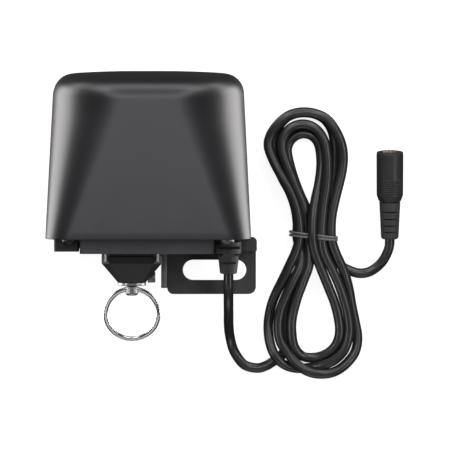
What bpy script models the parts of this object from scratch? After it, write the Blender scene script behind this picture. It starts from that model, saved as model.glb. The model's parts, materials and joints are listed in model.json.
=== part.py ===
"""Motorised actuator head that turns a quarter-turn valve.

The head lies on its back on a table: +X is its right side, +Y points to the top of the
cover, and +Z points away from the table.  The output shaft runs along Y, and its coupling,
pull pin and split ring face -Y.  The origin is on the flat back of the cover.

Every length below is in millimetres.  MM turns it into Blender's metres where a mesh,
a curve or an object is made.
"""
import math

import bmesh
import bpy
from mathutils import Matrix, Vector

MM = 0.001
GAP = 0.3                     # clearance between pieces that touch

# ---- cover ------------------------------------------------------------------------------
COVER_HALF = 43.45            # half of the square footprint at the open end
COVER_BOTTOM = -35.6
COVER_SHOULDER = 23.7         # where the top edge starts to round over
COVER_ROUND = 8.5             # radius of that rounding
COVER_RISE = 1.7              # crown of the top face
COVER_WALL = 2.2
COVER_DRAFT = math.radians(2.8)
CORNER_AT_BOTTOM = 10.1       # vertical corner radius at the open end
CORNER_GROWTH = 0.361         # corner radius gained for each millimetre of height
CORNER_KNEE = 17.5            # height above which the corner radius stays the same
COVER_DEPTH = 2 * COVER_HALF
MIDDLE_Z = COVER_HALF
POST_X = 33.3                 # screw posts, left and right of the middle
POST_FRONT_Z = 77.0
POST_BACK_Z = 10.0
POST_RADIUS = 3.2
POST_TOP = -7.0

# ---- base and gearbox -------------------------------------------------------------------
BASE_HALF = 40.2
BASE_TOP = -33.4
BASE_FLANGE = -35.4           # underside of the thin flange
BASE_BOTTOM = -41.9           # underside of the bar, the wing and the gearbox
BAR_FRONT_Z = 21.7
BAR_INSET = 0.2               # the bar and the wing stand in from the flange's edges
WING_FRONT_Z = 61.6
BOX_LEFT, BOX_RIGHT = -28.9, 27.7
BOX_BACK_Z, BOX_FRONT_Z = 25.5, 80.0
BOX_WALL = 2.0
BOX_TOP = -22.0
PLATE_LOW, PLATE_HIGH = -21.7, -19.7
BOX_SCREW_INSET = 2.5

# ---- drive train ------------------------------------------------------------------------
SHAFT_X, SHAFT_Z = -7.1, 43.4
MODULE = 0.6
PRESSURE = math.radians(25.0)
ADDENDUM, DEDENDUM = 0.8, 1.05          # in modules
BACKLASH = 0.12
OUTPUT_TEETH, PINION_TEETH, WHEEL_TEETH = 48, 12, 36
IDLER_ANGLE = math.radians(35.0)        # direction from the output shaft to the idler
MOTOR_ANGLE = math.radians(60.0)        # direction from the idler to the motor
OUTPUT_TO_IDLER = MODULE * (OUTPUT_TEETH + PINION_TEETH) / 2
IDLER_TO_MOTOR = MODULE * (WHEEL_TEETH + PINION_TEETH) / 2
IDLER_X = SHAFT_X + OUTPUT_TO_IDLER * math.cos(IDLER_ANGLE)
IDLER_Z = SHAFT_Z + OUTPUT_TO_IDLER * math.sin(IDLER_ANGLE)
MOTOR_X = IDLER_X + IDLER_TO_MOTOR * math.cos(MOTOR_ANGLE)
MOTOR_Z = IDLER_Z + IDLER_TO_MOTOR * math.sin(MOTOR_ANGLE)
MOTOR_RADIUS = 12.0
SHAFT_RADIUS, SHAFT_BORE = 4.5, 2.6
SHAFT_TOP, SHAFT_END = -17.7, -45.7

# ---- coupling, pull pin and ring --------------------------------------------------------
COUPLING_TOP, COUPLING_KNEE, COUPLING_BOTTOM = -42.3, -47.3, -55.7
COUPLING_HALF, COUPLING_TIP_HALF = 12.8, 5.9
COUPLING_CHAMFER, COUPLING_TIP_CHAMFER = 3.2, 1.45
SET_SCREW_Y = -53.7
PIN_HOLE_Y = -58.62
PIN_HOLE_RADIUS = 1.75
RING_RADIUS = 11.2            # to the middle of the wire
RING_RADIAL, RING_AXIAL = 1.87, 1.6
RING_TILT = math.radians(15.0)

# ---- bracket ----------------------------------------------------------------------------
BRACKET_LEFT, BRACKET_RIGHT = 5.2, 45.6
BRACKET_BOTTOM = -62.1
BRACKET_BACK_Z = 19.8
SHEET = 2.5
LEG_FRONT_Z, LEG_BOTTOM = 30.0, -59.3
SLOT_LEFT, SLOT_RIGHT = 14.5, 41.45
SLOT_LOW, SLOT_HIGH = -56.15, -47.45
TAB_RIGHT, TAB_LEFT = 46.0, 9.0
TAB_TOP, TAB_BOTTOM = -37.7, -43.75
BRACKET_SCREWS_X = (14.0, 36.4)
BRACKET_SCREW_Y = -40.2

# ---- cord -------------------------------------------------------------------------------
CORD = 4.2                    # diameter of the cord
GLAND_X, GLAND_Z = 33.9, 31.0
GLAND_END = -52.9
# The lead leaves the gland, comes down to the table and turns in under the hank.
LEAD = [(33.9, -53.5, 31.0), (33.9, -58.5, 30.6), (33.9, -64.5, 27.4), (33.95, -70.5, 21.0),
        (34.0, -76.0, 13.5), (34.6, -81.5, 6.6), (36.4, -87.8, 3.0), (40.6, -93.4, 2.2),
        (46.2, -94.9, 2.2), (50.2, -93.8, 2.2), (52.6, -92.3, 2.2)]
# The tail comes out below the tie and turns up into the jack.
TAIL = [(86.1, -53.25, 2.2), (89.7, -54.3, 2.2), (93.4, -53.9, 2.2), (96.6, -52.2, 2.25),
        (99.6, -49.3, 2.5), (101.6, -45.8, 3.0), (102.6, -42.8, 3.5), (102.8, -40.0, 3.85)]
# The outline of the tied hank: a wide loop, the waist at the tie, and a wider loop.
HANK = [(65.9, 16.9), (54.7, 13.3), (50.0, 7.5), (48.7, 0.0), (50.2, -8.5), (54.5, -17.5),
        (60.0, -28.0), (61.7, -37.3), (59.0, -46.2), (51.7, -62.7), (48.8, -74.0),
        (49.2, -83.8), (52.6, -91.2), (61.0, -96.8), (74.5, -98.9), (84.1, -94.7),
        (90.2, -86.0), (90.4, -76.0), (87.5, -65.2), (83.4, -52.5), (80.2, -42.5),
        (79.8, -34.0), (82.9, -18.4), (84.9, -6.0), (83.7, 3.3), (76.5, 12.8)]
HANK_LOW, HANK_HIGH = 1.6, 9.9
TIE_LEFT, TIE_RIGHT, TIE_HIGH = 59.4, 81.9, 11.4
TIE_FROM, TIE_TO = -40.0, -36.9
JACK_X, JACK_Y, JACK_Z = 102.8, -39.4, 3.95    # middle of the cord's end of the boot
JACK_TILT = math.radians(6.6)
JACK_LENGTH = 37.5
JACK_BOOT_LENGTH = 16.0
JACK_FLOOR = 27.5             # floor of the socket, measured along the jack
JACK_RADIUS = 5.75

# ---- finishes: colour, roughness, metallic ----------------------------------------------
FINISHES = {
    "cover_plastic": ((0.035, 0.035, 0.038), 0.38, 0.0),
    "base_plastic": ((0.010, 0.010, 0.011), 0.50, 0.0),
    "gearbox_plastic": ((0.040, 0.040, 0.046), 0.45, 0.0),
    "black_paint": ((0.022, 0.022, 0.023), 0.50, 0.0),
    "rubber": ((0.018, 0.018, 0.019), 0.60, 0.0),
    "cord_pvc": ((0.022, 0.022, 0.023), 0.35, 0.0),
    "steel": ((0.55, 0.54, 0.52), 0.30, 1.0),
    "chrome": ((0.75, 0.75, 0.76), 0.08, 1.0),
    "brass": ((0.70, 0.50, 0.22), 0.30, 1.0),
    "gear_nylon": ((0.80, 0.78, 0.70), 0.45, 0.0),
    "board": ((0.02, 0.16, 0.06), 0.40, 0.0),
    "chip": ((0.02, 0.02, 0.02), 0.50, 0.0),
    "terminal_green": ((0.03, 0.30, 0.12), 0.45, 0.0),
    "capacitor_sleeve": ((0.03, 0.04, 0.12), 0.35, 0.0),
    "red_wire": ((0.50, 0.02, 0.02), 0.40, 0.0),
}

TO_Y = Matrix.Rotation(-math.pi / 2, 3, "X")             # local Z becomes world +Y
TO_X = Matrix(((0, 0, 1), (1, 0, 0), (0, 1, 0)))         # local X, Y, Z become Y, Z, X
TO_Z = Matrix.Identity(3)
TURNS = {"X": TO_X, "Y": TO_Y, "Z": TO_Z}

PARTS = None                  # collection of the pieces, made by start()
CUTTERS = None                # collection of the cutting and joining bodies


# ---- building blocks --------------------------------------------------------------------
def start():
    """Empty the scene and make the two collections."""
    global PARTS, CUTTERS
    for old in list(bpy.data.objects):
        bpy.data.objects.remove(old, do_unlink=True)
    PARTS = bpy.data.collections.new("actuator_head")
    CUTTERS = bpy.data.collections.new("cutters")
    for collection in (PARTS, CUTTERS):
        bpy.context.scene.collection.children.link(collection)


def make_material(name, finish):
    colour, roughness, metallic = FINISHES[finish]
    material = bpy.data.materials.new(name)
    material.use_nodes = True
    shader = material.node_tree.nodes["Principled BSDF"]
    shader.inputs["Base Color"].default_value = (*colour, 1.0)
    shader.inputs["Roughness"].default_value = roughness
    shader.inputs["Metallic"].default_value = metallic
    return material


def put(obj, finish=None, parent=None):
    """Link an object as a piece with its own material, or as a cutter without one."""
    if finish is None:
        CUTTERS.objects.link(obj)
        obj.hide_render = True
        obj.display_type = "WIRE"
        return obj
    PARTS.objects.link(obj)
    obj.data.materials.clear()
    obj.data.materials.append(make_material(obj.name, finish))
    if parent is not None:
        obj.parent = parent
        obj.matrix_parent_inverse = Matrix.Translation(-parent.location)
    return obj


def joint_axis(name, x, y, z):
    """An empty on a joint's axis, the parent of the pieces that the joint moves."""
    empty = bpy.data.objects.new(name, None)
    empty.empty_display_size = 5 * MM
    empty.location = Vector((x, y, z)) * MM
    PARTS.objects.link(empty)
    return empty


def orient(obj, at, axis):
    obj.location = Vector(at) * MM
    obj.rotation_euler = TURNS[axis].to_euler()
    return obj


def box(name, low, high, finish=None, parent=None, bevel=0.0):
    bm = bmesh.new()
    bmesh.ops.create_cube(bm, size=1.0)
    size = Vector(high) - Vector(low)
    middle = (Vector(high) + Vector(low)) / 2
    for vertex in bm.verts:
        vertex.co = Vector([vertex.co[i] * size[i] for i in range(3)]) * MM
    mesh = bpy.data.meshes.new(name)
    bm.to_mesh(mesh)
    bm.free()
    obj = bpy.data.objects.new(name, mesh)
    obj.location = middle * MM
    put(obj, finish, parent)
    if bevel:
        soften(obj, bevel)
    return obj


def soften(obj, width, segments=2):
    modifier = obj.modifiers.new("soft edges", "BEVEL")
    modifier.width = width * MM
    modifier.segments = segments
    modifier.limit_method = "ANGLE"
    modifier.angle_limit = math.radians(50)


def turned(name, profile, at, axis, finish=None, parent=None, steps=20):
    """A turned body.  The profile lists (radius, height) down its outer side, and closes
    on itself unless it starts on the axis."""
    on_axis = profile[0][0] == 0
    count = len(profile)
    edges = [(i, i + 1) for i in range(count - 1)]
    if not on_axis:
        edges.append((count - 1, 0))
    mesh = bpy.data.meshes.new(name)
    mesh.from_pydata([(r * MM, 0, h * MM) for r, h in profile], edges, [])
    obj = orient(bpy.data.objects.new(name, mesh), at, axis)
    screw = obj.modifiers.new("turn", "SCREW")
    screw.steps = steps
    screw.render_steps = steps
    screw.use_merge_vertices = True
    screw.merge_threshold = 0.00001
    screw.use_smooth_shade = True
    return put(obj, finish, parent)


def rod(name, radius, low, high, at, axis, finish=None, parent=None, steps=14):
    profile = [(0, high), (radius, high), (radius, low), (0, low)]
    return turned(name, profile, at, axis, finish, parent, steps)


def tube(name, outer, inner, low, high, at, axis, finish=None, parent=None, steps=20):
    profile = [(outer, high), (outer, low), (inner, low), (inner, high)]
    return turned(name, profile, at, axis, finish, parent, steps)


def rounded(corners, steps=5):
    """Points of an outline from (x, y, radius) corners."""
    points = []
    for i, (x, y, radius) in enumerate(corners):
        corner = Vector((x, y))
        before = (Vector(corners[i - 1][:2]) - corner).normalized()
        after = (Vector(corners[(i + 1) % len(corners)][:2]) - corner).normalized()
        if radius == 0:
            points.append(corner)
            continue
        half = before.angle(after) / 2
        centre = corner + (before + after).normalized() * radius / math.sin(half)
        first = corner + before * radius / math.tan(half) - centre
        last = corner + after * radius / math.tan(half) - centre
        for step in range(steps + 1):
            share = step / steps
            points.append(centre + first.slerp(last, share) * radius)
    return points


def circle(x, y, radius, steps=14):
    turn = 2 * math.pi / steps
    return [Vector((x + radius * math.cos(i * turn), y + radius * math.sin(i * turn)))
            for i in range(steps)]


def as_mesh(curve_obj):
    """Turn a curve object into a mesh object whose caps are welded."""
    bpy.context.scene.collection.objects.link(curve_obj)
    graph = bpy.context.evaluated_depsgraph_get()
    mesh = bpy.data.meshes.new_from_object(curve_obj.evaluated_get(graph))
    name, placed = curve_obj.name, curve_obj.matrix_world.copy()
    curve = curve_obj.data
    bpy.data.objects.remove(curve_obj, do_unlink=True)
    bpy.data.curves.remove(curve)
    bm = bmesh.new()
    bm.from_mesh(mesh)
    bmesh.ops.remove_doubles(bm, verts=bm.verts, dist=0.000005)
    bm.to_mesh(mesh)
    bm.free()
    obj = bpy.data.objects.new(name, mesh)
    mesh.name = name
    obj.matrix_world = placed
    return obj


def plate(name, outline, low, high, axis, finish=None, parent=None, holes=()):
    """A flat outline with holes, from low to high along the axis.  The outline is in
    (x, y) for axis Z, (x, z) for axis Y and (y, z) for axis X."""
    curve = bpy.data.curves.new(name, "CURVE")
    curve.dimensions = "2D"
    curve.fill_mode = "BOTH"
    curve.extrude = (high - low) / 2 * MM
    flip = -1 if axis == "Y" else 1
    for loop in (outline, *holes):
        spline = curve.splines.new("POLY")
        spline.points.add(len(loop) - 1)
        for point, place in zip(spline.points, loop):
            point.co = (place[0] * MM, flip * place[1] * MM, 0, 1)
        spline.use_cyclic_u = True
    middle = (low + high) / 2
    at = {"X": (middle, 0, 0), "Y": (0, middle, 0), "Z": (0, 0, middle)}[axis]
    return put(as_mesh(orient(bpy.data.objects.new(name, curve), at, axis)), finish, parent)


def combine(obj, operation, others):
    """Join the other bodies to an object, or cut them out of it, in one step."""
    group = bpy.data.collections.new(f"{obj.name} {operation.lower()}")
    CUTTERS.children.link(group)
    for other in others:
        CUTTERS.objects.unlink(other)
        group.objects.link(other)
    modifier = obj.modifiers.new(group.name, "BOOLEAN")
    modifier.operation = operation
    modifier.solver = "EXACT"
    modifier.operand_type = "COLLECTION"
    modifier.collection = group


def smooth_route(points, spacing):
    """Evenly spaced points on a Catmull-Rom curve through the given ones."""
    points = [Vector(p) for p in points]
    return even_steps([2 * points[0] - points[1], *points, 2 * points[-1] - points[-2]], spacing)


def closed_route(points, spacing):
    """The same around a closed loop, without repeating the first point."""
    points = [Vector(p) for p in points]
    return even_steps([points[-1], *points, points[0], points[1]], spacing)[:-1]


def even_steps(nodes, spacing):
    """Evenly spaced points from the second node to the last but one."""
    fine = []
    for a, b, c, d in zip(nodes, nodes[1:], nodes[2:], nodes[3:]):
        for step in range(12):
            t = step / 12
            fine.append(0.5 * (2 * b + (c - a) * t + (2 * a - 5 * b + 4 * c - d) * t * t
                               + (3 * b - a - 3 * c + d) * t ** 3))
    fine.append(nodes[-2])
    length = sum((b - a).length for a, b in zip(fine, fine[1:]))
    count = max(2, round(length / spacing))
    route, walked, target = [fine[0]], 0.0, length / count
    for a, b in zip(fine, fine[1:]):
        step = (b - a).length
        while walked + step >= target and len(route) < count:
            route.append(a.lerp(b, (target - walked) / step))
            target += length / count
        walked += step
    route.append(fine[-1])
    return route


def wire(name, points, radius, finish, parent=None):
    """A round wire or cord along a list of points."""
    curve = bpy.data.curves.new(name, "CURVE")
    curve.dimensions = "3D"
    curve.bevel_depth = radius * MM
    curve.bevel_resolution = 2
    curve.use_fill_caps = True
    spline = curve.splines.new("POLY")
    spline.points.add(len(points) - 1)
    for point, place in zip(spline.points, points):
        point.co = (*(Vector(place) * MM), 1)
    return put(bpy.data.objects.new(name, curve), finish, parent)


def loft(name, rings, apex, finish, parent=None):
    """A surface over matching rings of points, in order from the open end, closed by a
    fan to the apex, or by flat faces at both ends when there is no apex."""
    bm = bmesh.new()
    rows = [[bm.verts.new(Vector(p) * MM) for p in ring] for ring in rings]
    count = len(rows[0])
    for low, high in zip(rows, rows[1:]):
        for i in range(count):
            j = (i + 1) % count
            bm.faces.new((low[i], low[j], high[j], high[i]))
    if apex is None:
        bm.faces.new(rows[-1])
        bm.faces.new(reversed(rows[0]))
    else:
        tip = bm.verts.new(Vector(apex) * MM)
        for i in range(count):
            bm.faces.new((rows[-1][i], rows[-1][(i + 1) % count], tip))
    mesh = bpy.data.meshes.new(name)
    bm.to_mesh(mesh)
    bm.free()
    obj = bpy.data.objects.new(name, mesh)
    return put(obj, finish, parent)


def pan_screw(name, at, axis, head_radius, head_height, shank_radius, shank_length, finish,
              parent=None):
    """A pan-head screw.  The head sits below height 0, and the shank rises above it."""
    profile = [(0, shank_length), (shank_radius, shank_length), (shank_radius, 0),
               (head_radius, 0), (head_radius, -0.45 * head_height),
               (0.72 * head_radius, -0.88 * head_height), (0, -head_height)]
    return turned(name, profile, at, axis, finish, parent, steps=12)


# ---- cover ------------------------------------------------------------------------------
def cover_section(y, inset=0.0):
    """The cover's outline at height y: flat sides and round corners, flat back at z = 0."""
    rise = min(y, COVER_SHOULDER) - COVER_BOTTOM
    half = COVER_HALF - rise * math.tan(COVER_DRAFT) - inset
    front = COVER_DEPTH - rise * math.tan(COVER_DRAFT) - inset
    growth = min(y, CORNER_KNEE) - COVER_BOTTOM
    radius = CORNER_AT_BOTTOM + CORNER_GROWTH * growth - inset
    corners = [(half, inset, radius), (-half, inset, radius),
               (-half, front, radius), (half, front, radius)]
    return [(p.x, y, p.y) for p in rounded(corners, steps=7)]


def make_cover():
    rings = [cover_section(y) for y in (COVER_BOTTOM, CORNER_KNEE, COVER_SHOULDER)]
    for step in range(1, 5):
        angle = math.radians(84) * step / 4
        inset = COVER_ROUND * (1 - math.cos(angle))
        rings.append(cover_section(COVER_SHOULDER + COVER_ROUND * math.sin(angle), inset))
    edge = rings[-1]
    middle = Vector((0, edge[0][1], sum(p[2] for p in edge) / len(edge)))
    for share in (0.7, 0.35):
        crown = middle + Vector((0, COVER_RISE * (1 - share ** 2), 0))
        rings.append([tuple(crown + (Vector(p) - middle) * share) for p in edge])
    apex = middle + Vector((0, COVER_RISE, 0))
    cover = loft("cover", rings, apex, "cover_plastic")
    shell = cover.modifiers.new("wall", "SOLIDIFY")
    shell.thickness = COVER_WALL * MM
    shell.offset = -1
    shell.use_even_offset = True
    posts, bores = [], []
    for index, (x, z) in enumerate(post_places()):
        posts.append(rod(f"post_{index}", POST_RADIUS, -33.0, POST_TOP, (x, 0, z), "Y"))
        bores.append(rod(f"post_bore_{index}", 1.7, -34.0, POST_TOP - 4, (x, 0, z), "Y"))
    combine(cover, "UNION", posts)
    combine(cover, "DIFFERENCE", bores)


def post_places():
    return [(x, z) for z in (POST_FRONT_Z, POST_BACK_Z) for x in (-POST_X, POST_X)]


def square_outline(half, radius):
    low, high = MIDDLE_Z - half, MIDDLE_Z + half
    return rounded([(-half, low, radius), (half, low, radius), (half, high, radius),
                    (-half, high, radius)])


def make_gasket():
    plate("cover_gasket", square_outline(40.5, 9.4), BASE_TOP + GAP, BASE_TOP + 1.8, "Y",
          "rubber", holes=[square_outline(38.5, 7.4)])


def make_cover_screws():
    names = ("front_left", "front_right", "back_left", "back_right")
    for name, (x, z) in zip(names, post_places()):
        seat = BASE_FLANGE if z == POST_FRONT_Z else BASE_BOTTOM + 3.0
        length = POST_TOP - 8 - seat
        pan_screw(f"cover_screw_{name}", (x, seat - GAP, z), "Y", 3.1, 2.3, 1.4, length, "steel")


# ---- base -------------------------------------------------------------------------------
def make_base_plate():
    """A flange that closes the cover, with a thick bar behind and a wing on the left."""
    holes = [box_outline(-GAP, 2.0), circle(GLAND_X, GLAND_Z, 4.2)]
    holes += [circle(x, z, 1.8) for x, z in post_places() if z == POST_FRONT_Z]
    base = plate("base_plate", square_outline(BASE_HALF, 7.0), BASE_FLANGE, BASE_TOP, "Y",
                 "base_plastic", holes=holes)
    side = BASE_HALF - BAR_INSET
    back = MIDDLE_Z - side
    inner = BOX_LEFT - GAP - BAR_INSET
    bar = rounded([(-side, back, 7.0), (side, back, 7.0), (side, BAR_FRONT_Z, 1.0),
                   (inner, BAR_FRONT_Z, 0), (inner, WING_FRONT_Z, 1.0),
                   (-side, WING_FRONT_Z, 1.0)])
    combine(base, "UNION", [plate("base_bar", bar, BASE_BOTTOM, BASE_FLANGE + 0.5, "Y")])
    cutters = []
    for index, (x, z) in enumerate(post_places()[2:]):
        cutters.append(rod(f"bar_bore_{index}", 1.8, -50, -30, (x, 0, z), "Y"))
        cutters.append(rod(f"bar_counterbore_{index}", 3.5, -50, BASE_BOTTOM + 3.0, (x, 0, z), "Y"))
    for index, x in enumerate(BRACKET_SCREWS_X):
        cutters.append(rod(f"bar_thread_{index}", 1.2, 11.0, 30.0, (x, BRACKET_SCREW_Y, 0), "Z"))
    combine(base, "DIFFERENCE", cutters)


# ---- bracket ----------------------------------------------------------------------------
def make_bracket():
    """Folded sheet: a slotted plate, a tab joggled forward over the bar, and a side leg."""
    top = BASE_BOTTOM - GAP
    outline = rounded([(BRACKET_LEFT, top, 0), (BRACKET_RIGHT, top, 0),
                       (BRACKET_RIGHT, BRACKET_BOTTOM, 3.0),
                       (BRACKET_LEFT + SHEET, BRACKET_BOTTOM, 3.0),
                       (BRACKET_LEFT, LEG_BOTTOM, 0)])
    radius = (SLOT_HIGH - SLOT_LOW) / 2 - 0.01
    slot = rounded([(SLOT_LEFT, SLOT_LOW, radius), (SLOT_RIGHT, SLOT_LOW, radius),
                    (SLOT_RIGHT, SLOT_HIGH, radius), (SLOT_LEFT, SLOT_HIGH, radius)], steps=8)
    bracket = plate("bracket", outline, BRACKET_BACK_Z, BRACKET_BACK_Z + SHEET, "Z",
                    "black_paint", holes=[slot])
    tab_back = BRACKET_BACK_Z + SHEET - GAP
    tab = plate("bracket_tab", rounded([(TAB_LEFT, TAB_TOP, 2.0), (TAB_LEFT, TAB_BOTTOM, 0),
                                        (TAB_RIGHT, TAB_BOTTOM, 0), (TAB_RIGHT, TAB_TOP, 2.1)]),
                tab_back, tab_back + SHEET, "Z")
    leg = box("bracket_leg", (BRACKET_LEFT + 0.1, LEG_BOTTOM + 0.2, BRACKET_BACK_Z + 1.0),
              (BRACKET_LEFT + SHEET, top - 0.2, LEG_FRONT_Z))
    combine(bracket, "UNION", [tab, leg])
    sinks = []
    for index, x in enumerate(BRACKET_SCREWS_X):
        face = tab_back + SHEET
        profile = [(0, face + 0.5), (2.0, face + 0.5), (2.0, face - 0.1), (1.35, face - 0.8),
                   (1.35, face - 4), (0, face - 4)]
        sinks.append(turned(f"bracket_sink_{index}", profile, (x, BRACKET_SCREW_Y, 0), "Z"))
        screw = [(0, face - 0.1), (1.7, face - 0.1), (0.9, face - 1.0), (0.9, 12.0), (0, 12.0)]
        turned(f"bracket_screw_{index + 1}", screw, (x, BRACKET_SCREW_Y, 0), "Z", "steel",
               steps=12)
    combine(bracket, "DIFFERENCE", sinks)


# ---- gearbox ----------------------------------------------------------------------------
def box_outline(inset, radius):
    left, right = BOX_LEFT + inset, BOX_RIGHT - inset
    low, high = BOX_BACK_Z + inset, BOX_FRONT_Z - inset
    return rounded([(left, low, radius), (right, low, radius), (right, high, radius),
                    (left, high, radius)])


def box_screw_places():
    left, right = BOX_LEFT + BOX_SCREW_INSET, BOX_RIGHT - BOX_SCREW_INSET
    low, high = BOX_BACK_Z + BOX_SCREW_INSET, BOX_FRONT_Z - BOX_SCREW_INSET
    return [(left, low), (right, low), (right, high), (left, high)]


def make_gearbox():
    housing = plate("gearbox_housing", box_outline(0, 2.0), BASE_BOTTOM, BOX_TOP, "Y",
                    "gearbox_plastic")
    soften(housing, 0.8)
    cavity = plate("gearbox_cavity", box_outline(BOX_WALL, 1.0), BASE_BOTTOM + BOX_WALL,
                   BOX_TOP + 5, "Y")
    bosses, bores = [], []
    for index, (x, z) in enumerate(box_screw_places()):
        bosses.append(rod(f"boss_{index}", 2.35, BASE_BOTTOM + 1, BOX_TOP, (x, 0, z), "Y"))
        bores.append(rod(f"boss_bore_{index}", 1.3, -32, BOX_TOP + 5, (x, 0, z), "Y"))
    bores.append(rod("shaft_opening", 6.6, -45, -35, (SHAFT_X, 0, SHAFT_Z), "Y", steps=20))
    bores.append(rod("axle_pocket", 1.8, -41.2, -35, (IDLER_X, 0, IDLER_Z), "Y"))
    combine(housing, "DIFFERENCE", [cavity])
    combine(housing, "UNION", bosses)
    combine(housing, "DIFFERENCE", bores)

    holes = [circle(SHAFT_X, SHAFT_Z, 6.6), circle(IDLER_X, IDLER_Z, 1.8),
             circle(MOTOR_X, MOTOR_Z, 3.4)]
    holes += [circle(x, z, 1.3) for x, z in box_screw_places()]
    lid = plate("gearbox_top_plate", box_outline(0, 2.0), PLATE_LOW, PLATE_HIGH, "Y",
                "gearbox_plastic", holes=holes)
    pillars, threads = [], []
    for index, (x, z) in enumerate(BOARD_SCREWS):
        pillars.append(rod(f"pillar_{index}", 2.3, PLATE_LOW + 0.5, BOARD_LOW - GAP, (x, 0, z), "Y"))
        threads.append(rod(f"pillar_bore_{index}", 1.3, PLATE_LOW + 1.5, -5, (x, 0, z), "Y"))
    combine(lid, "UNION", pillars)
    combine(lid, "DIFFERENCE", threads)
    for index, (x, z) in enumerate(box_screw_places()):
        profile = [(0, 1.6), (1.5, 1.6), (2.1, 0.8), (2.1, 0), (1.0, 0), (1.0, -9), (0, -9)]
        turned(f"gearbox_screw_{index + 1}", profile, (x, PLATE_HIGH + GAP, z), "Y", "steel",
               steps=10)


# ---- gears and shaft --------------------------------------------------------------------
def gear_outline(teeth, x, z, phase):
    """An involute gear's outline, with one tooth centred on the phase angle."""
    pitch = MODULE * teeth / 2
    base = pitch * math.cos(PRESSURE)
    tip = pitch + ADDENDUM * MODULE
    root = pitch - DEDENDUM * MODULE
    inside = max(base, root)
    involute = math.tan(PRESSURE) - PRESSURE
    at_pitch = math.pi / (2 * teeth) - BACKLASH / (2 * pitch)

    def half_angle(radius):
        pressure = math.acos(min(1.0, base / radius))
        return at_pitch + involute - (math.tan(pressure) - pressure)

    side = [(root, half_angle(inside) * 1.05)] + [(r, half_angle(r)) for r in (inside, tip)]
    points = []
    for tooth in range(teeth):
        middle = phase + 2 * math.pi * tooth / teeth
        for radius, angle in side:
            points.append((radius, middle - angle))
        for radius, angle in reversed(side):
            points.append((radius, middle + angle))
    return [(x + r * math.cos(a), z + r * math.sin(a)) for r, a in points]


def make_gears(output, idler, rotor):
    mesh_half = math.pi / PINION_TEETH
    plate("output_gear", gear_outline(OUTPUT_TEETH, SHAFT_X, SHAFT_Z, IDLER_ANGLE), -34.6, -29.4,
          "Y", "gear_nylon", output, holes=[circle(SHAFT_X, SHAFT_Z, SHAFT_RADIUS + GAP)])
    bore = [circle(IDLER_X, IDLER_Z, 1.8)]
    cluster = plate("idler_gear", gear_outline(WHEEL_TEETH, IDLER_X, IDLER_Z, MOTOR_ANGLE),
                    -28.6, -24.6, "Y", "gear_nylon", idler, holes=bore)
    small = plate("idler_small_gear", gear_outline(PINION_TEETH, IDLER_X, IDLER_Z,
                                                   IDLER_ANGLE + math.pi + mesh_half),
                  -34.6, -28.3, "Y", holes=bore)
    combine(cluster, "UNION", [small])
    pinion = plate("motor_pinion", gear_outline(PINION_TEETH, MOTOR_X, MOTOR_Z,
                                                MOTOR_ANGLE + math.pi + mesh_half),
                   -28.8, -24.4, "Y", "brass", rotor)
    combine(pinion, "UNION", [rod("motor_spindle", 1.0, -28.0, -14.0, (MOTOR_X, 0, MOTOR_Z), "Y")])
    rod("idler_axle", 1.5, -40.9, -20.0, (IDLER_X, 0, IDLER_Z), "Y", "steel")


def make_shaft(output):
    at = (SHAFT_X, 0, SHAFT_Z)
    profile = [(0, SHAFT_TOP), (SHAFT_RADIUS, SHAFT_TOP), (SHAFT_RADIUS, SHAFT_END),
               (SHAFT_BORE, SHAFT_END), (SHAFT_BORE, SHAFT_TOP - 1.6), (0, SHAFT_TOP - 1.6)]
    turned("output_shaft", profile, at, "Y", "steel", output)
    inner = SHAFT_RADIUS + GAP
    floor = BASE_BOTTOM + BOX_WALL
    turned("lower_bush", [(7.8, floor + 1.1), (7.8, floor + GAP), (6.3, floor + GAP),
                          (6.3, BASE_BOTTOM + 0.2), (inner, BASE_BOTTOM + 0.2),
                          (inner, floor + 1.1)], at, "Y", "brass")
    turned("upper_bush", [(7.8, PLATE_HIGH + 1.0), (7.8, PLATE_HIGH + GAP),
                          (6.3, PLATE_HIGH + GAP), (6.3, PLATE_LOW), (inner, PLATE_LOW),
                          (inner, PLATE_HIGH + 1.0)], at, "Y", "brass")
    tube("retaining_clip", 6.9, inner, -18.4, -17.9, at, "Y", "steel", output)
    rod("position_magnet", 4.0, -17.4, -15.2, at, "Y", "steel", output)


# ---- coupling, pin and ring -------------------------------------------------------------
def octagon(half, chamfer, y):
    """A square with cut corners around the shaft at height y."""
    flat = half - chamfer
    corners = [(half, -flat), (half, flat), (flat, half), (-flat, half),
               (-half, flat), (-half, -flat), (-flat, -half), (flat, -half)]
    return [(SHAFT_X + x, y, SHAFT_Z + z) for x, z in reversed(corners)]


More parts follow.
